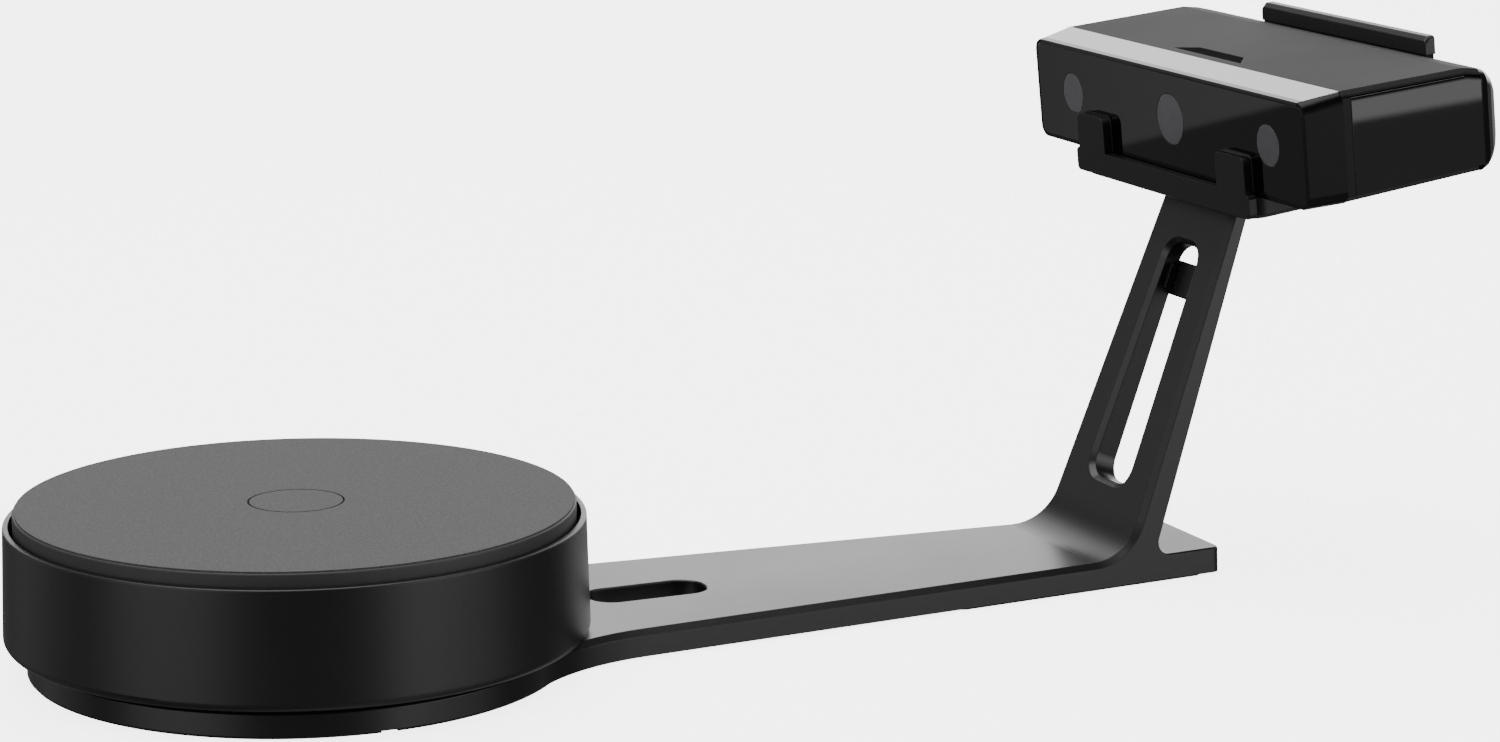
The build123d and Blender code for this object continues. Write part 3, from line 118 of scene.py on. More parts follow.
studio = {
    "floorRadius": 14.0,
    "floorSides": 96,
    "floorColour": "#f2f2f2",
    "floorGlow": 4.2,  # the floor is a lit table
    "floorGrain": 40.0,  # mottles to the metre
    "floorRough": (0.75, 0.85),
    "ambient": 0.08,
    "backdrop": 4.6,
}
topBox = {
    "place": (-0.2, 0.3, 2.6),
    "target": (0, 0, 0.1),
    "width": 3.2,
    "depth": 2.6,
    "watts": 90,
}
# soft white walls round the set, which the black plastics mirror
# bearing: compass degrees from +Y towards +X; lit and faded: half widths in degrees
# low and high: the edges, as the sine of the height, each with its fade
# climb: how much both edges rise to the right
softWalls = {
    # behind the set, mirrored by the arm's top and the bend of the riser
    "backWall": {"bearing": 31, "lit": 22, "faded": 44, "low": -0.05, "lowFade": 0.05,
                 "high": 0.55, "highFade": 0.25, "strength": 2.6, "climb": 0},
    # mirrored by the gloss panel on the head's near side, with its sharp lower edge
    "rightWall": {"bearing": 138, "lit": 16, "faded": 30, "low": -0.1164, "lowFade": 0.001,
                  "high": 0.4, "highFade": 0.4, "strength": 2.5, "climb": 0.203},
    "rightFloor": {"bearing": 140, "lit": 18, "faded": 36, "low": -1.2, "lowFade": 0.1,
                   "high": -0.1236, "highFade": 0.001, "strength": 0.3, "climb": 0.202},
    # mirrored by the turntable's left side
    "leftWall": {"bearing": -110, "lit": 10, "faded": 32, "low": -0.2, "lowFade": 0.1,
                 "high": 0.4, "highFade": 0.4, "strength": 1.75, "climb": 0},
    # mirrored by the gloss face of the head
    "farLeftWall": {"bearing": -45, "lit": 12, "faded": 24, "low": -0.2309, "lowFade": 0.001,
                    "high": 0.5, "highFade": 0.4, "strength": 0.42, "climb": 0.075},
    "farLeftFloor": {"bearing": -30, "lit": 20, "faded": 40, "low": -1.2, "lowFade": 0.1,
                     "high": -0.2502, "highFade": 0.001, "strength": 0.07, "climb": 0.072},
    # light from below, as a pale table throws it back
    "backFloor": {"bearing": 35, "lit": 25, "faded": 42, "low": -1.2, "lowFade": 0.1,
                  "high": -0.06, "highFade": 0.05, "strength": 0.3, "climb": 0},
    "frontFloor": {"bearing": -155, "lit": 40, "faded": 80, "low": -1.2, "lowFade": 0.1,
                   "high": -0.12, "highFade": 0.06, "strength": 0.09, "climb": 0},
}


def addTopBox(values):
    data = bpy.data.lights.new("topBox", "AREA")
    data.shape = "RECTANGLE"
    data.size = values["width"]
    data.size_y = values["depth"]
    data.energy = values["watts"]
    light = bpy.data.objects.new("topBox", data)
    light.location = values["place"]
    downwards = Vector(values["target"]) - Vector(values["place"])
    light.rotation_euler = downwards.to_track_quat("-Z", "Y").to_euler()
    light.visible_camera = False
    bpy.context.scene.collection.objects.link(light)


# a part of the surroundings that is lit between two bearings and two heights
def addWall(tree, heading, rise, values):
    bearing = math.radians(values["bearing"])
    towards = (math.sin(bearing), math.cos(bearing), 0)
    rightwards = (values["climb"] * towards[1], -values["climb"] * towards[0], 0)
    climbed = addNode(
        tree, "ShaderNodeVectorMath", {0: heading, 1: rightwards}, operation="DOT_PRODUCT"
    ).outputs["Value"]
    height = addNode(tree, "ShaderNodeMath", {0: rise, 1: climbed}, operation="ADD").outputs[0]
    near = addNode(
        tree, "ShaderNodeVectorMath", {0: heading, 1: towards}, operation="DOT_PRODUCT"
    ).outputs["Value"]
    side = addNode(
        tree,
        "ShaderNodeMapRange",
        {
            "Value": near,
            "From Min": math.cos(math.radians(values["faded"])),
            "From Max": math.cos(math.radians(values["lit"])),
            "To Max": values["strength"],
        },
        interpolation_type="SMOOTHSTEP",
    ).outputs["Result"]
    above = addNode(
        tree,
        "ShaderNodeMapRange",
        {
            "Value": height,
            "From Min": values["low"] - values["lowFade"],
            "From Max": values["low"] + values["lowFade"],
        },
        interpolation_type="SMOOTHSTEP",
    ).outputs["Result"]
    below = addNode(
        tree,
        "ShaderNodeMapRange",
        {
            "Value": height,
            "From Min": values["high"] - values["highFade"],
            "From Max": values["high"] + values["highFade"],
            "To Min": 1.0,
            "To Max": 0.0,
        },
        interpolation_type="SMOOTHSTEP",
    ).outputs["Result"]
    band = addNode(tree, "ShaderNodeMath", {0: above, 1: below}, operation="MULTIPLY").outputs[0]
    return addNode(tree, "ShaderNodeMath", {0: side, 1: band}, operation="MULTIPLY").outputs[0]


def addSurroundings():
    world = bpy.data.worlds.new("studioWorld")
    world.use_nodes = True
    tree = world.node_tree
    tree.nodes.clear()
    direction = addNode(tree, "ShaderNodeTexCoord").outputs["Generated"]
    rise = addNode(tree, "ShaderNodeSeparateXYZ", {0: direction}).outputs["Z"]
    level = addNode(
        tree, "ShaderNodeVectorMath", {0: direction, 1: (1, 1, 0)}, operation="MULTIPLY"
    ).outputs[0]
    heading = addNode(
        tree, "ShaderNodeVectorMath", {0: level}, operation="NORMALIZE"
    ).outputs[0]
    total = studio["ambient"]
    for values in softWalls.values():
        wall = addWall(tree, heading, rise, values)
        total = addNode(tree, "ShaderNodeMath", {0: total, 1: wall}, operation="ADD").outputs[0]
    seen = addNode(tree, "ShaderNodeLightPath").outputs["Is Camera Ray"]
    strength = addNode(
        tree,
        "ShaderNodeMapRange",
        {"Value": seen, "To Min": total, "To Max": studio["backdrop"]},
    ).outputs["Result"]
    sky = addNode(
        tree, "ShaderNodeBackground", {"Color": toLinear("#ffffff"), "Strength": strength}
    )
    addNode(tree, "ShaderNodeOutputWorld", {"Surface": sky.outputs[0]})
    bpy.context.scene.world = world


def addFloor():
    bpy.ops.object.select_all(action="DESELECT")
    bpy.ops.mesh.primitive_circle_add(
        vertices=studio["floorSides"], radius=studio["floorRadius"], fill_type="NGON"
    )
    floor = bpy.context.object
    floor.name = "floor"
    material, tree, place = startMaterial("pale lit table")
    grain = addNode(
        tree,
        "ShaderNodeTexNoise",
        {"Vector": place, "Scale": studio["floorGrain"], "Detail": 3.0},
    )
    rough = addNode(
        tree,
        "ShaderNodeMapRange",
        {
            "Value": grain.outputs["Fac"],
            "To Min": studio["floorRough"][0],
            "To Max": studio["floorRough"][1],
        },
    )
    paint = addNode(
        tree,
        "ShaderNodeBsdfPrincipled",
        {
            "Base Color": toLinear(studio["floorColour"]),
            "Roughness": rough.outputs["Result"],
            "Emission Color": toLinear("#ffffff"),
            "Emission Strength": studio["floorGlow"],
        },
    )
    floor.data.materials.append(finishMaterial(material, tree, paint))
    floor.visible_glossy = False
    floor.visible_diffuse = False  # its glow is for the eye, and adds no light from below


addFloor()
addSurroundings()
addTopBox(topBox)
print("studio set")

# plastics and paints
# grainMm is the pitch of the surface's texture and bumpMm its height; real mould textures are
# about a tenth of these pitches, which are the finest that show
# spread is how far the gloss wanders over the part; edgeMm is the rounding of its edges
plastics = {
    # moulded with a fine matt texture; at a low angle it still mirrors a pale wall softly
    "satinAbs": {"name": "satin moulded ABS", "colour": "#191919", "roughness": 0.3, "spread": 0.03,
                 "grainMm": 0.7, "bumpMm": 0.006, "shade": 0.18, "edgeMm": 0.5},
    # the same polymer from a coarser spark-eroded mould, so highlights are wider and dimmer
    "housingAbs": {"name": "spark-textured ABS", "colour": "#161617", "roughness": 0.36,
                   "spread": 0.03, "grainMm": 0.8, "bumpMm": 0.01, "shade": 0.2, "edgeMm": 0.5},
    # lacquered top cover: grey by its sheen alone, with the faint orange peel of a spray coat
    "coverPaint": {"name": "fine textured lacquer", "colour": "#151516", "roughness": 0.66,
                   "spread": 0.03, "grainMm": 0.9, "bumpMm": 0.006, "shade": 0.15, "edgeMm": 0.6,
                   "specular": 0.34},
    # the head's tail and underside come from a polished mould: deep black, clear highlights
    "polishedAbs": {"name": "polished black ABS", "colour": "#0c0c0d", "roughness": 0.13,
                    "spread": 0.02, "grainMm": 1.4, "bumpMm": 0.001, "shade": 0.1, "edgeMm": 0.4,
                    "specular": 0.35},
    # the platter's moulding is coloured a dull dark grey, lighter than the housing, as a painted
    # highlight for the light its side catches from above
    "platterPaintedSheen": {"name": "dark grey ABS with painted sheen", "colour": "#3a3a3b", "roughness": 0.55,
                   "spread": 0.03, "grainMm": 0.8, "bumpMm": 0.008, "shade": 0.15, "edgeMm": 0.3},
    # the head's front ring: the same black from a duller mould, darker than the tail
    "bezelAbs": {"name": "satin black ABS", "colour": "#09090a", "roughness": 0.24,
                 "spread": 0.02, "grainMm": 1.2, "bumpMm": 0.002, "shade": 0.1, "edgeMm": 0.4,
                 "specular": 0.16},
    # the cradle's tray, textured as the stand and a little duller
    "trayAbs": {"name": "dull moulded ABS", "colour": "#171717", "roughness": 0.36, "spread": 0.03,
                "grainMm": 0.7, "bumpMm": 0.006, "shade": 0.18, "edgeMm": 0.5, "specular": 0.36},
    # the latch is a springy grade with a little more grey in it
    "latchNylon": {"name": "glass-filled nylon", "colour": "#262627", "roughness": 0.36,
                   "spread": 0.04, "grainMm": 0.7, "bumpMm": 0.008, "shade": 0.18, "edgeMm": 0.5},
    # the blank name plate: dull printed film that hardly mirrors
    "plateFilm": {"name": "matt black film", "colour": "#0b0b0b", "roughness": 0.9,
                  "spread": 0.03, "grainMm": 0.8, "bumpMm": 0.002, "shade": 0.1, "edgeMm": 0.1,
                  "specular": 0.1, "ior": 1.2},
    # nylon of the small inner and outer fittings, dull and even
    "darkNylon": {"name": "plain black nylon", "colour": "#101011", "roughness": 0.45,
                  "spread": 0.05, "grainMm": 0.6, "bumpMm": 0.01, "shade": 0.15, "edgeMm": 0.3},
    # rubber feet: no sheen, slightly mottled
    "footRubber": {"name": "nitrile rubber", "colour": "#151515", "roughness": 0.82,
                   "spread": 0.05, "grainMm": 0.9, "bumpMm": 0.04, "shade": 0.25, "edgeMm": 0.2},
    # natural acetal gears: waxy, off-white
    "acetal": {"name": "natural acetal", "colour": "#e6e4da", "roughness": 0.38, "spread": 0.05,
               "grainMm": 1.2, "bumpMm": 0.004, "shade": 0.04, "edgeMm": 0.2},
    # stoved enamel of the motor's can, glossier than the mouldings
    "motorEnamel": {"name": "black stoving enamel", "colour": "#202123", "roughness": 0.28,
                    "spread": 0.06, "grainMm": 1.5, "bumpMm": 0.008, "shade": 0.12, "edgeMm": 0.4},
}
# what all of them share, where they don't say otherwise
plasticBasics = {
    "ior": 1.5,
    "specular": 0.5,
    "grainDetail": 2.0,
    "grainRoughness": 0.6,
    "patches": 9.0,  # patches of duller and clearer gloss to the metre
    "patchFrom": 0.3,
    "patchTo": 0.7,
    "bumpStrength": 0.6,
}


def mouldedPlastic(ownValues):
    values = {**plasticBasics, **ownValues}
    material, tree, place = startMaterial(values["name"])
    grain = addNode(
        tree,
        "ShaderNodeTexNoise",
        {
            "Vector": place,
            "Scale": 1000 / values["grainMm"],
            "Detail": values["grainDetail"],
            "Roughness": values["grainRoughness"],
        },
    )
    patches = addNode(
        tree, "ShaderNodeTexNoise", {"Vector": place, "Scale": values["patches"], "Detail": 3.0}
    )
    gloss = addNode(
        tree,
        "ShaderNodeMapRange",
        {
            "Value": patches.outputs["Fac"],
            "From Min": values["patchFrom"],
            "From Max": values["patchTo"],
            "To Min": values["roughness"] - values["spread"],
            "To Max": values["roughness"] + values["spread"],
        },
    )
    dark, light = shadesOf(values["colour"], values["shade"])
    shade = addNode(
        tree, "ShaderNodeMix", {0: grain.outputs["Fac"], 6: dark, 7: light}, data_type="RGBA"
    )
    edge = addNode(tree, "ShaderNodeBevel", {"Radius": values["edgeMm"] / 1000}, samples=6)
    bump = addNode(
        tree,
        "ShaderNodeBump",
        {
            "Height": grain.outputs["Fac"],
            "Strength": values["bumpStrength"],
            "Distance": values["bumpMm"] / 1000,
            "Normal": edge.outputs["Normal"],
        },
    )
    plastic = addNode(
        tree,
        "ShaderNodeBsdfPrincipled",
        {
            "Base Color": shade.outputs[2],
            "Roughness": gloss.outputs["Result"],
            "IOR": values["ior"],
            "Specular IOR Level": values["specular"],
            "Normal": bump.outputs["Normal"],
        },
    )
    return finishMaterial(material, tree, plastic)


# platter mat and its centre cap
matValues = {
    "colour": "#4d4d4d",
    "shade": 0.22,
    "speckMm": 0.9,  # the real speckle is finer; this is the finest that shows
    "grainMm": 1.5,  # the slower mottle that breaks up the specks
    "toneFrom": 0.05,
    "toneTo": 0.4,
    "roughness": 0.8,
    "spread": 0.06,
    "ior": 1.42,
    "bumpMm": 0.03,
    "bumpStrength": 0.5,
    "edgeMm": 0.3,
    "axisX": -0.174876,  # the turntable's axis
    "seamShadowRadius": 17.2,  # the cut round the centre cap, along which the mat's colour is darkened as a painted shadow in the gap
    "seamShadowMm": 0.5,
    "seamShadowCore": 1.4,  # the painted shadow's full width over that of its darkest part
    # how dark the painted shadow is at its darkest, as a share of the mat's colour
    "paintedSeamShade": 0.12,
}


# matt silicone with a fine mineral filler: an even grey with small pale and dark specks, and a
# painted shadow along the cut round the centre cap
def siliconeMat(values):
    material, tree, place = startMaterial("filled silicone mat")
    speck = addNode(
        tree, "ShaderNodeTexVoronoi", {"Vector": place, "Scale": 1000 / values["speckMm"]}
    )
    grain = addNode(
        tree,
        "ShaderNodeTexNoise",
        {"Vector": place, "Scale": 1000 / values["grainMm"], "Detail": 3.0},
    )
    mixed = addNode(
        tree,
        "ShaderNodeMath",
        {0: speck.outputs["Distance"], 1: grain.outputs["Fac"]},
        operation="MULTIPLY",
    )
    tone = addNode(
        tree,
        "ShaderNodeMapRange",
        {
            "Value": mixed.outputs[0],
            "From Min": values["toneFrom"],
            "From Max": values["toneTo"],
        },
    )
    dark, light = shadesOf(values["colour"], values["shade"])
    shade = addNode(
        tree, "ShaderNodeMix", {0: tone.outputs["Result"], 6: dark, 7: light}, data_type="RGBA"
    )
    # painted shadow: the colour is darkened along the cut round the centre cap, where shade falls in
    # the gap
    fromAxis = addNode(
        tree,
        "ShaderNodeVectorMath",
        {0: place, 1: (values["axisX"], 0, 0)},
        operation="SUBTRACT",
    ).outputs[0]
    level = addNode(
        tree, "ShaderNodeVectorMath", {0: fromAxis, 1: (1, 1, 0)}, operation="MULTIPLY"
    ).outputs[0]
    radius = addNode(
        tree, "ShaderNodeVectorMath", {0: level}, operation="LENGTH"
    ).outputs["Value"]
    offSeam = addNode(
        tree, "ShaderNodeMath", {0: radius, 1: values["seamShadowRadius"] / 1000}, operation="SUBTRACT"
    ).outputs[0]
    farOff = addNode(tree, "ShaderNodeMath", {0: offSeam}, operation="ABSOLUTE").outputs[0]
    seamShadowFactor = addNode(
        tree,
        "ShaderNodeMapRange",
        {
            "Value": farOff,
            "From Min": values["seamShadowMm"] / 1000 / values["seamShadowCore"],
            "From Max": values["seamShadowMm"] / 1000,
            "To Min": values["paintedSeamShade"],
        },
    ).outputs["Result"]
    seamShadowed = addNode(
        tree, "ShaderNodeVectorMath", {0: shade.outputs[2], 3: seamShadowFactor}, operation="SCALE"
    ).outputs[0]
    edge = addNode(tree, "ShaderNodeBevel", {"Radius": values["edgeMm"] / 1000}, samples=6)
    bump = addNode(
        tree,
        "ShaderNodeBump",
        {
            "Height": mixed.outputs[0],
            "Strength": values["bumpStrength"],
            "Distance": values["bumpMm"] / 1000,
            "Normal": edge.outputs["Normal"],
        },
    )
    rough = addNode(
        tree,
        "ShaderNodeMapRange",
        {
            "Value": grain.outputs["Fac"],
            "To Min": values["roughness"] - values["spread"],
            "To Max": values["roughness"] + values["spread"],
        },
    )
    mat = addNode(
        tree,
        "ShaderNodeBsdfPrincipled",
        {
            "Base Color": seamShadowed,
            "Roughness": rough.outputs["Result"],
            "IOR": values["ior"],
            "Normal": bump.outputs["Normal"],
        },
    )
    return finishMaterial(material, tree, mat)


# gloss panels and windows
acrylics = {
    # cast sheet, polished: a deep black mirror with a very slight waviness and a few dust specks
    "glossPanel": {"name": "polished black acrylic", "colour": "#060607", "roughness": 0.012,
                   "waveMm": 40.0, "edgeMm": 0.4},
    # tinted filter over a lens: a mid grey with a softer gloss
    "filterWindow": {"name": "grey filter acrylic", "colour": "#57575a", "roughness": 0.1,
                     "waveMm": 6.0, "edgeMm": 0.2},
}
acrylicBasics = {
    "ior": 1.49,
    "shade": 0.1,
    "bumpMm": 0.0004,
    "bumpStrength": 0.5,
    "dustScale": 900.0,  # specks to the metre
    "dustFrom": 0.45,
    "dustTo": 0.8,
    "dusty": 1.6,  # how much rougher a speck is than the clean sheet
}


def polishedAcrylic(ownValues):
    values = {**acrylicBasics, **ownValues}
    material, tree, place = startMaterial(values["name"])
    wave = addNode(
        tree, "ShaderNodeTexNoise", {"Vector": place, "Scale": 1000 / values["waveMm"], "Detail": 1.0}
    )
    dust = addNode(
        tree, "ShaderNodeTexNoise", {"Vector": place, "Scale": values["dustScale"], "Detail": 2.0}
    )
    rough = addNode(
        tree,
        "ShaderNodeMapRange",
        {
            "Value": dust.outputs["Fac"],
            "From Min": values["dustFrom"],
            "From Max": values["dustTo"],
            "To Min": values["roughness"],
            "To Max": values["roughness"] * values["dusty"],
        },
    )
    dark, light = shadesOf(values["colour"], values["shade"])
    shade = addNode(
        tree, "ShaderNodeMix", {0: wave.outputs["Fac"], 6: dark, 7: light}, data_type="RGBA"
    )
    edge = addNode(tree, "ShaderNodeBevel", {"Radius": values["edgeMm"] / 1000}, samples=6)
    bump = addNode(
        tree,
        "ShaderNodeBump",
        {
            "Height": wave.outputs["Fac"],
            "Strength": values["bumpStrength"],
            "Distance": values["bumpMm"] / 1000,
            "Normal": edge.outputs["Normal"],
        },
    )
    acrylic = addNode(
        tree,
        "ShaderNodeBsdfPrincipled",
        {
            "Base Color": shade.outputs[2],
            "Roughness": rough.outputs["Result"],
            "IOR": values["ior"],
            "Normal": bump.outputs["Normal"],
        },
    )
    return finishMaterial(material, tree, acrylic)


# metals; their grain too is drawn coarser than the real one, so that it shows
metals = {
    # screws, shafts and socket shells: bright, slightly warm
    "nickel": {"name": "nickel-plated steel", "colour": "#b9b5ab", "roughness": 0.26,
               "grainMm": 0.9, "bumpMm": 0.003, "edgeMm": 0.15},
    # bush, pinion and contacts: yellow and a little duller
    "brass": {"name": "machined brass", "colour": "#c9a24d", "roughness": 0.3,
              "grainMm": 0.8, "bumpMm": 0.004, "edgeMm": 0.15},
    # the optical bench and the motor's bracket: bead-blasted aluminium, even and grey
    "benchMetal": {"name": "bead-blasted aluminium", "colour": "#a9abad", "roughness": 0.42,
                   "grainMm": 0.6, "bumpMm": 0.01, "edgeMm": 0.2},
}
metalBasics = {"metallic": 1.0, "shade": 0.1, "spread": 0.06, "bumpStrength": 0.5}


def metalFinish(ownValues):
    values = {**metalBasics, **ownValues}
    material, tree, place = startMaterial(values["name"])
    grain = addNode(
        tree,
        "ShaderNodeTexNoise",
        {"Vector": place, "Scale": 1000 / values["grainMm"], "Detail": 3.0},
    )
    dark, light = shadesOf(values["colour"], values["shade"])
    shade = addNode(
        tree, "ShaderNodeMix", {0: grain.outputs["Fac"], 6: dark, 7: light}, data_type="RGBA"
    )
    rough = addNode(
        tree,
        "ShaderNodeMapRange",
        {
            "Value": grain.outputs["Fac"],
            "To Min": values["roughness"] - values["spread"],
            "To Max": values["roughness"] + values["spread"],
        },
    )
    edge = addNode(tree, "ShaderNodeBevel", {"Radius": values["edgeMm"] / 1000}, samples=6)
    bump = addNode(
        tree,
        "ShaderNodeBump",
        {
            "Height": grain.outputs["Fac"],
            "Strength": values["bumpStrength"],
            "Distance": values["bumpMm"] / 1000,
            "Normal": edge.outputs["Normal"],
        },
    )
    metal = addNode(
        tree,
        "ShaderNodeBsdfPrincipled",
        {
            "Base Color": shade.outputs[2],
            "Metallic": values["metallic"],
            "Roughness": rough.outputs["Result"],
            "Normal": bump.outputs["Normal"],
        },
    )
    return finishMaterial(material, tree, metal)


# silver strip along the head
stripValues = {
    "colour": "#bcbcbe",  # aluminium-flake lacquer, a soft silver with a tiny sparkle
    "shade": 0.1,
    "metallic": 0.85,
    "roughness": 0.36,
    "grainMm": 0.5,  # the real flake is finer; this is the finest that shows
    "bumpMm": 0.004,
    "bumpStrength": 0.5,
    "edgeMm": 0.4,
    "bareMm": 2.4,  # the lacquer is masked off this far behind the front edge
    "maskMm": 0.05,  # half the width over which it ends
    "bareColour": "#0c0c0d",
    "bareRoughness": 0.15,
}


def maskedLacquer(values):
    material, tree, place = startMaterial("silver flake lacquer")
    tilt = math.radians(headFrame["tilt"])
    along = (math.cos(tilt), 0, math.sin(tilt))
    front = headFrame["footX"] * along[0] + headFrame["footZ"] * along[2]
    maskEdge = front + values["bareMm"] / 1000
    depth = addNode(
        tree, "ShaderNodeVectorMath", {0: place, 1: along}, operation="DOT_PRODUCT"
    ).outputs["Value"]
    coated = addNode(
        tree,
        "ShaderNodeMapRange",
        {
            "Value": depth,
            "From Min": maskEdge - values["maskMm"] / 1000,
            "From Max": maskEdge + values["maskMm"] / 1000,
        },
    ).outputs["Result"]
    flake = addNode(
        tree,
        "ShaderNodeTexNoise",
        {"Vector": place, "Scale": 1000 / values["grainMm"], "Detail": 3.0},
    )
    dark, light = shadesOf(values["colour"], values["shade"])
    silver = addNode(
        tree, "ShaderNodeMix", {0: flake.outputs["Fac"], 6: dark, 7: light}, data_type="RGBA"
    )
    colour = addNode(
        tree,
        "ShaderNodeMix",
        {0: coated, 6: toLinear(values["bareColour"]), 7: silver.outputs[2]},
        data_type="RGBA",
    )
    metal = addNode(
        tree, "ShaderNodeMapRange", {"Value": coated, "To Max": values["metallic"]}
    )
    rough = addNode(
        tree,
        "ShaderNodeMapRange",
        {"Value": coated, "To Min": values["bareRoughness"], "To Max": values["roughness"]},
    )
    edge = addNode(tree, "ShaderNodeBevel", {"Radius": values["edgeMm"] / 1000}, samples=6)
    bump = addNode(
        tree,
        "ShaderNodeBump",
        {
            "Height": flake.outputs["Fac"],
            "Strength": values["bumpStrength"],
            "Distance": values["bumpMm"] / 1000,
            "Normal": edge.outputs["Normal"],
        },
    )
    lacquer = addNode(
        tree,
        "ShaderNodeBsdfPrincipled",
        {
            "Base Color": colour.outputs[2],
            "Metallic": metal.outputs["Result"],
            "Roughness": rough.outputs["Result"],
            "Normal": bump.outputs["Normal"],
        },
    )
    return finishMaterial(material, tree, lacquer)


# circuit boards
boardValues = {
    "mask": "#0d4f2b",
    "copper": "#1f7a45",  # the tracks, seen through the mask
    "trackMm": 1.6,
    "tracksWide": 4,  # tracks in one repeat of the pattern
    "trackGap": 0.05,
    "trackHeightMm": 0.03,
    "bumpStrength": 0.5,
    "roughness": 0.3,
}


# green solder mask over copper tracks, which show as a lighter raised pattern
def circuitBoard(values):
    material, tree, place = startMaterial("green solder mask")
    tracks = addNode(
        tree,
        "ShaderNodeTexBrick",
        {
            "Vector": place,
            "Scale": 1000 / (values["trackMm"] * values["tracksWide"]),
            "Color1": toLinear(values["mask"]),
            "Color2": toLinear(values["mask"]),
            "Mortar": toLinear(values["copper"]),
            "Mortar Size": values["trackGap"],
        },
    )
    bump = addNode(
        tree,
        "ShaderNodeBump",
        {
            "Height": tracks.outputs["Fac"],
            "Strength": values["bumpStrength"],
            "Distance": values["trackHeightMm"] / 1000,
        },
    )
    mask = addNode(
        tree,
        "ShaderNodeBsdfPrincipled",
        {
            "Base Color": tracks.outputs["Color"],
            "Roughness": values["roughness"],
            "Normal": bump.outputs["Normal"],
        },
    )
    return finishMaterial(material, tree, mask)


# lenses
lensValues = {
    "tint": "#dfe7ec",
    "roughness": 0.01,
    "ior": 1.52,
    "waves": 120.0,  # to the metre
    "waveMm": 0.001,
    "bumpStrength": 0.2,
}


# coated glass: clear, with a faint waviness that moves its glints
def lensGlass(values):
    material, tree, place = startMaterial("coated lens glass")
    wave = addNode(
        tree, "ShaderNodeTexNoise", {"Vector": place, "Scale": values["waves"], "Detail": 1.0}
    )
    bump = addNode(
        tree,
        "ShaderNodeBump",
        {
            "Height": wave.outputs["Fac"],
            "Strength": values["bumpStrength"],
            "Distance": values["waveMm"] / 1000,
        },
    )
    glass = addNode(
        tree,
        "ShaderNodeBsdfPrincipled",
        {
            "Base Color": toLinear(values["tint"]),
            "Roughness": values["roughness"],
            "IOR": values["ior"],
            "Transmission Weight": 1.0,
            "Normal": bump.outputs["Normal"],
        },
    )
    return finishMaterial(material, tree, glass)


finishes = {name: mouldedPlastic(values) for name, values in plastics.items()}
finishes["matSilicone"] = siliconeMat(matValues)
finishes.update({name: polishedAcrylic(values) for name, values in acrylics.items()})
finishes.update({name: metalFinish(values) for name, values in metals.items()})
finishes["silverStrip"] = maskedLacquer(stripValues)
finishes["board"] = circuitBoard(boardValues)
finishes["lens"] = lensGlass(lensValues)
print("finishes made:", len(finishes))

# which nodes of the frame get each finish
nodeFinishes = {
    "satinAbs": ["stand_frame"],
    "trayAbs": ["cradle_tray"],
    "bezelAbs": ["front_bezel"],
    "latchNylon": ["rear_latch"],
    "housingAbs": ["turntable_housing", "chassis_plate"],
    "platterPaintedSheen": ["platter"],
    "polishedAbs": ["rear_cover", "bottom_shell"],
    "matSilicone": ["platter_mat", "centre_cap"],
    "coverPaint": ["top_cover"],
    "silverStrip": ["top_trim"],
    "glossPanel": ["front_panel", "left_side_panel", "right_side_panel"],
    "plateFilm": ["badge_plate"],
    "filterWindow": ["left_window", "middle_window", "right_window"],
    "lens": ["left_lens", "middle_lens", "right_lens"],
    "footRubber": ["arm_foot_pad", "base_foot_pads", "cradle_pads"],
    "darkNylon": ["cable_clip", "fan_frame", "fan_rotor", "power_button", "power_jack",
                  "button_switch"],
    "acetal": ["drive_gear", "thrust_washer"],
    "brass": ["spindle_bush", "motor_pinion"],
    "motorEnamel": ["drive_motor"],
    "board": ["control_board", "main_board", "left_camera_board", "right_camera_board"],
    "benchMetal": ["optical_frame", "projector_module", "left_barrel", "middle_barrel",
                   "right_barrel", "motor_bracket"],
    "nickel": ["spindle", "motor_shaft", "latch_pin", "turntable_socket", "data_port",
               "stand_port", "chassis_screws", "cradle_screws", "frame_screws", "gear_screws",
               "motor_screws", "bracket_screws"],
}


def paintNodes():
    waiting = set(nodes)
    for finish, names in nodeFinishes.items():
        for name in names:
            nodes[name].data.materials.clear()
            nodes[name].data.materials.append(finishes[finish])
            waiting.discard(name)
    print("finishes given, nodes left without:", sorted(waiting))


paintNodes()


# a point of the head, from its depth, its place across and its height above the seat, in mm
def onHead(depth, across, height):
    tilt = math.radians(headFrame["tilt"])
    return Vector(
        (
            headFrame["footX"] + (depth * math.cos(tilt) - height * math.sin(tilt)) / 1000,
            across / 1000,
            headFrame["footZ"] + (depth * math.sin(tilt) + height * math.cos(tilt)) / 1000,
        )
    )


# a block with rounded edges between two corners in mm
def addBlock(low, high, rounding):
    bpy.ops.object.select_all(action="DESELECT")
    size = [(b - a) / 1000 for a, b in zip(low, high)]
    middle = [(a + b) / 2000 for a, b in zip(low, high)]
    bpy.ops.mesh.primitive_cube_add(size=1.0, location=middle, scale=size)
    bpy.ops.object.transform_apply(location=True, rotation=True, scale=True)
    bpy.ops.object.mode_set(mode="EDIT")
    bpy.ops.mesh.select_all(action="SELECT")
    if rounding:
        bpy.ops.mesh.bevel(offset=rounding / 1000, segments=3, affect="EDGES")
    bpy.ops.mesh.normals_make_consistent(inside=False)
    bpy.ops.mesh.select_all(action="DESELECT")
    bpy.ops.object.mode_set(mode="OBJECT")
    return bpy.context.object


# a copy with its own mesh, placed, and turned with the head if it belongs to it
def placeCopy(model, place, tilted):
    copy = model.copy()
    copy.data = model.data.copy()
    bpy.context.scene.collection.objects.link(copy)
    copy.location = place
    copy.rotation_euler = (0, -math.radians(headFrame["tilt"]) if tilted else 0, 0)
    return copy


def joinParts(parts):
    bpy.ops.object.select_all(action="DESELECT")
    for part in parts:
        part.select_set(True)
    bpy.context.view_layer.objects.active = parts[0]
    bpy.ops.object.join()
    return bpy.context.object


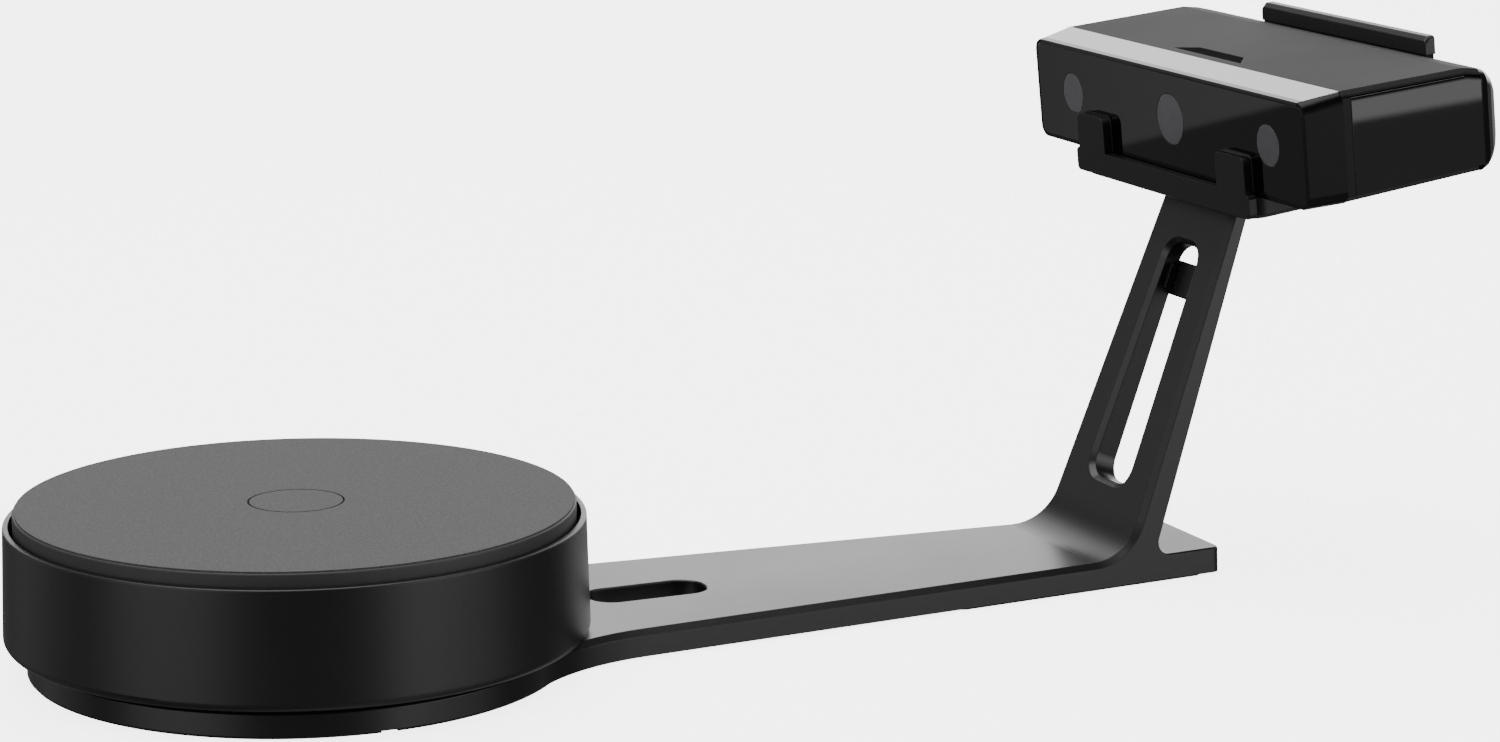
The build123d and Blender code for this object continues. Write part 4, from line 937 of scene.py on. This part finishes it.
# the selected piece named, with its place in its mesh, finished, and put on its body
def finishPiece(piece, name, finish, body):
    bpy.ops.object.transform_apply(location=True, rotation=True, scale=True)
    bpy.ops.object.shade_smooth_by_angle(angle=math.radians(smoothAngle))
    piece.name = name
    piece.data.materials.clear()
    piece.data.materials.append(finishes[finish])
    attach(piece, body)


# rubber pad under the latch's bar, in mm on the head
latchPadValues = {
    "start": 82.6,
    "end": 86.6,
    "half": 59.0,
    "top": 40.1,
    "low": 39.45,  # front of its underside, which follows the fall of the head's tail
    "back": 37.6,
    "rounding": 0.25,
}


def addLatchPad(values):
    bpy.ops.object.select_all(action="DESELECT")
    middle = onHead((values["start"] + values["end"]) / 2, 0, values["top"])
    bpy.ops.mesh.primitive_cube_add(size=1.0, location=middle)
    pad = bpy.context.object
    for vertex in pad.data.vertices:
        far = vertex.co.x > 0
        underside = values["back"] if far else values["low"]
        depth = values["end"] if far else values["start"]
        height = values["top"] if vertex.co.z > 0 else underside
        across = values["half"] * (1 if vertex.co.y > 0 else -1)
        vertex.co = onHead(depth, across, height)
    pad.location = (0, 0, 0)
    bpy.ops.object.mode_set(mode="EDIT")
    bpy.ops.mesh.select_all(action="SELECT")
    bpy.ops.mesh.bevel(offset=values["rounding"] / 1000, segments=3, affect="EDGES")
    bpy.ops.mesh.normals_make_consistent(inside=False)
    bpy.ops.object.mode_set(mode="OBJECT")
    finishPiece(pad, "latchPad", "footRubber", "latch")


addLatchPad(latchPadValues)
print("latch pad added")

# lining of the two front hooks, in mm on the head
hookPadValues = {
    "front": -0.72,
    "back": -0.18,
    "across": 54.0,  # from the middle of the head to the middle of a hook
    "half": 10.8,
    "low": 1.4,
    "top": 15.7,
    "corner": 3.2,
    "cornerSegments": 6,
}


def addHookPads(values):
    waist = (values["low"] + values["top"]) / 2000
    pads = []
    for side in (-1, 1):
        middle = side * values["across"]
        pad = addBlock(
            (values["front"], middle - values["half"], values["low"]),
            (values["back"], middle + values["half"], values["top"]),
            0,
        )
        for edge in pad.data.edges:  # the two upper ones that run from front to back
            ends = [pad.data.vertices[v].co for v in edge.vertices]
            edge.select = abs(ends[0].x - ends[1].x) > 0 and ends[0].z > waist
        bpy.ops.object.mode_set(mode="EDIT")
        bpy.ops.mesh.select_mode(type="EDGE")
        bpy.ops.mesh.bevel(
            offset=values["corner"] / 1000, segments=values["cornerSegments"], affect="EDGES"
        )
        bpy.ops.object.mode_set(mode="OBJECT")
        for vertex in pad.data.vertices:
            vertex.co = onHead(*[c * 1000 for c in vertex.co])
        pads.append(pad)
    finishPiece(joinParts(pads), "hookLinings", "footRubber", "base")


addHookPads(hookPadValues)
print("hook linings added")

# cradle screws with hexagon sockets, in place of the plain ones
screwValues = {
    "headRadius": 2.8,
    "headHeight": 2.0,
    "headSides": 32,
    "rounding": 0.45,
    "keyRadius": 1.45,
    "keyDepth": 1.2,
    "keyOvercut": 1.0,  # how far the cutter of the socket stands out of the head
    "shankRadius": 1.5,
    "shankLength": 8.5,
    "shankRoot": 0.5,  # how deep the shank starts in the head
    "shankSides": 20,
    "seat": -13.3,  # underside of the flange, from the head's seat
    "depths": (27.533, 39.533),
    "across": (-14.0, 14.0),
    "rimSlack": 1e-6,  # m, for finding the edges of the rim
}


def cutOrAdd(target, tool, operation):
    bpy.ops.object.select_all(action="DESELECT")
    bpy.context.view_layer.objects.active = target
    target.select_set(True)
    change = target.modifiers.new("join", "BOOLEAN")
    change.operation = operation
    change.object = tool
    change.solver = "EXACT"
    bpy.ops.object.modifier_apply(modifier=change.name)
    bpy.data.objects.remove(tool, do_unlink=True)


def addRound(sides, radius, low, high):
    bpy.ops.object.select_all(action="DESELECT")
    bpy.ops.mesh.primitive_cylinder_add(
        vertices=sides,
        radius=radius / 1000,
        depth=(high - low) / 1000,
        location=(0, 0, (low + high) / 2000),
    )
    bpy.ops.object.transform_apply(location=True, rotation=True, scale=True)
    return bpy.context.object


def addScrews(values):
    head = addRound(values["headSides"], values["headRadius"], -values["headHeight"], 0)
    bpy.ops.object.mode_set(mode="EDIT")
    bpy.ops.mesh.select_all(action="DESELECT")
    bpy.ops.object.mode_set(mode="OBJECT")
    rim = -values["headHeight"] / 1000
    for edge in head.data.edges:
        ends = [head.data.vertices[v].co for v in edge.vertices]
        edge.select = all(abs(end.z - rim) < values["rimSlack"] for end in ends)
    bpy.ops.object.mode_set(mode="EDIT")
    bpy.ops.mesh.select_mode(type="EDGE")
    bpy.ops.mesh.bevel(offset=values["rounding"] / 1000, segments=3, affect="EDGES")
    bpy.ops.object.mode_set(mode="OBJECT")
    shank = addRound(
        values["shankSides"], values["shankRadius"], -values["shankRoot"], values["shankLength"]
    )
    cutOrAdd(head, shank, "UNION")
    keyStart = -values["headHeight"] - values["keyOvercut"]
    key = addRound(6, values["keyRadius"], keyStart, values["keyDepth"] - values["headHeight"])
    cutOrAdd(head, key, "DIFFERENCE")
    screws = [
        placeCopy(head, onHead(depth, across, values["seat"]), True)
        for depth in values["depths"]
        for across in values["across"]
    ]
    bpy.data.objects.remove(head, do_unlink=True)
    piece = joinParts(screws)
    finishPiece(piece, "cradleSocketScrews", "nickel", "base")
    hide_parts("cradle_screws")


addScrews(screwValues)
print("cradle screws added")

# tongues and contacts in the three sockets
socketValues = {
    "tongueHalf": 2.8,
    "tongueThick": 1.6,  # half of its thickness
    "tongueLength": 7.4,
    "rounding": 0.3,
    "contactHalf": 0.4,
    "contactStart": 0.8,  # from the root of the tongue
    "contactEnd": 0.6,  # from its tip
    "contactSunk": 0.2,
    "contactProud": 0.12,
    "contactRounding": 0.04,
    "contactAcross": (-1.25, 1.25),
    "depth": 9.0,  # from the mouth to the floor of the socket
    "floorGap": 0.05,
    "headMouth": (89.0, 39.0, 14.1),  # on the head; the second one is mirrored across
    "tableMouth": (-72.876, 0.0, 28.3),  # in the whole scanner's own directions
}


def addSockets(values):
    half = values["tongueHalf"]
    thick = values["tongueThick"]
    length = values["tongueLength"]
    tongue = addBlock((0, -half, -thick), (length, half, thick), values["rounding"])
    strips = []
    for across in values["contactAcross"]:
        for side in (-1, 1):
            inner, outer = sorted((side * thick, side * (thick + values["contactProud"])))
            strips.append(
                addBlock(
                    (
                        values["contactStart"],
                        across - values["contactHalf"],
                        inner - values["contactSunk"],
                    ),
                    (length - values["contactEnd"], across + values["contactHalf"], outer),
                    values["contactRounding"],
                )
            )
    contact = joinParts(strips)
    inwards = values["floorGap"] - values["depth"]
    mouth, across, height = values["headMouth"]
    tableX, tableY, tableZ = values["tableMouth"]
    places = [
        (onHead(mouth + inwards, across, height), True),
        (onHead(mouth + inwards, -across, height), True),
        (Vector((tableX + inwards, tableY, tableZ)) / 1000, False),
    ]
    tongues = [placeCopy(tongue, *place) for place in places]
    contacts = [placeCopy(contact, *place) for place in places]
    bpy.data.objects.remove(tongue, do_unlink=True)
    bpy.data.objects.remove(contact, do_unlink=True)
    finishPiece(joinParts(tongues), "socketTongues", "darkNylon", "base")
    finishPiece(joinParts(contacts), "socketContacts", "brass", "base")


addSockets(socketValues)
print("socket tongues added")
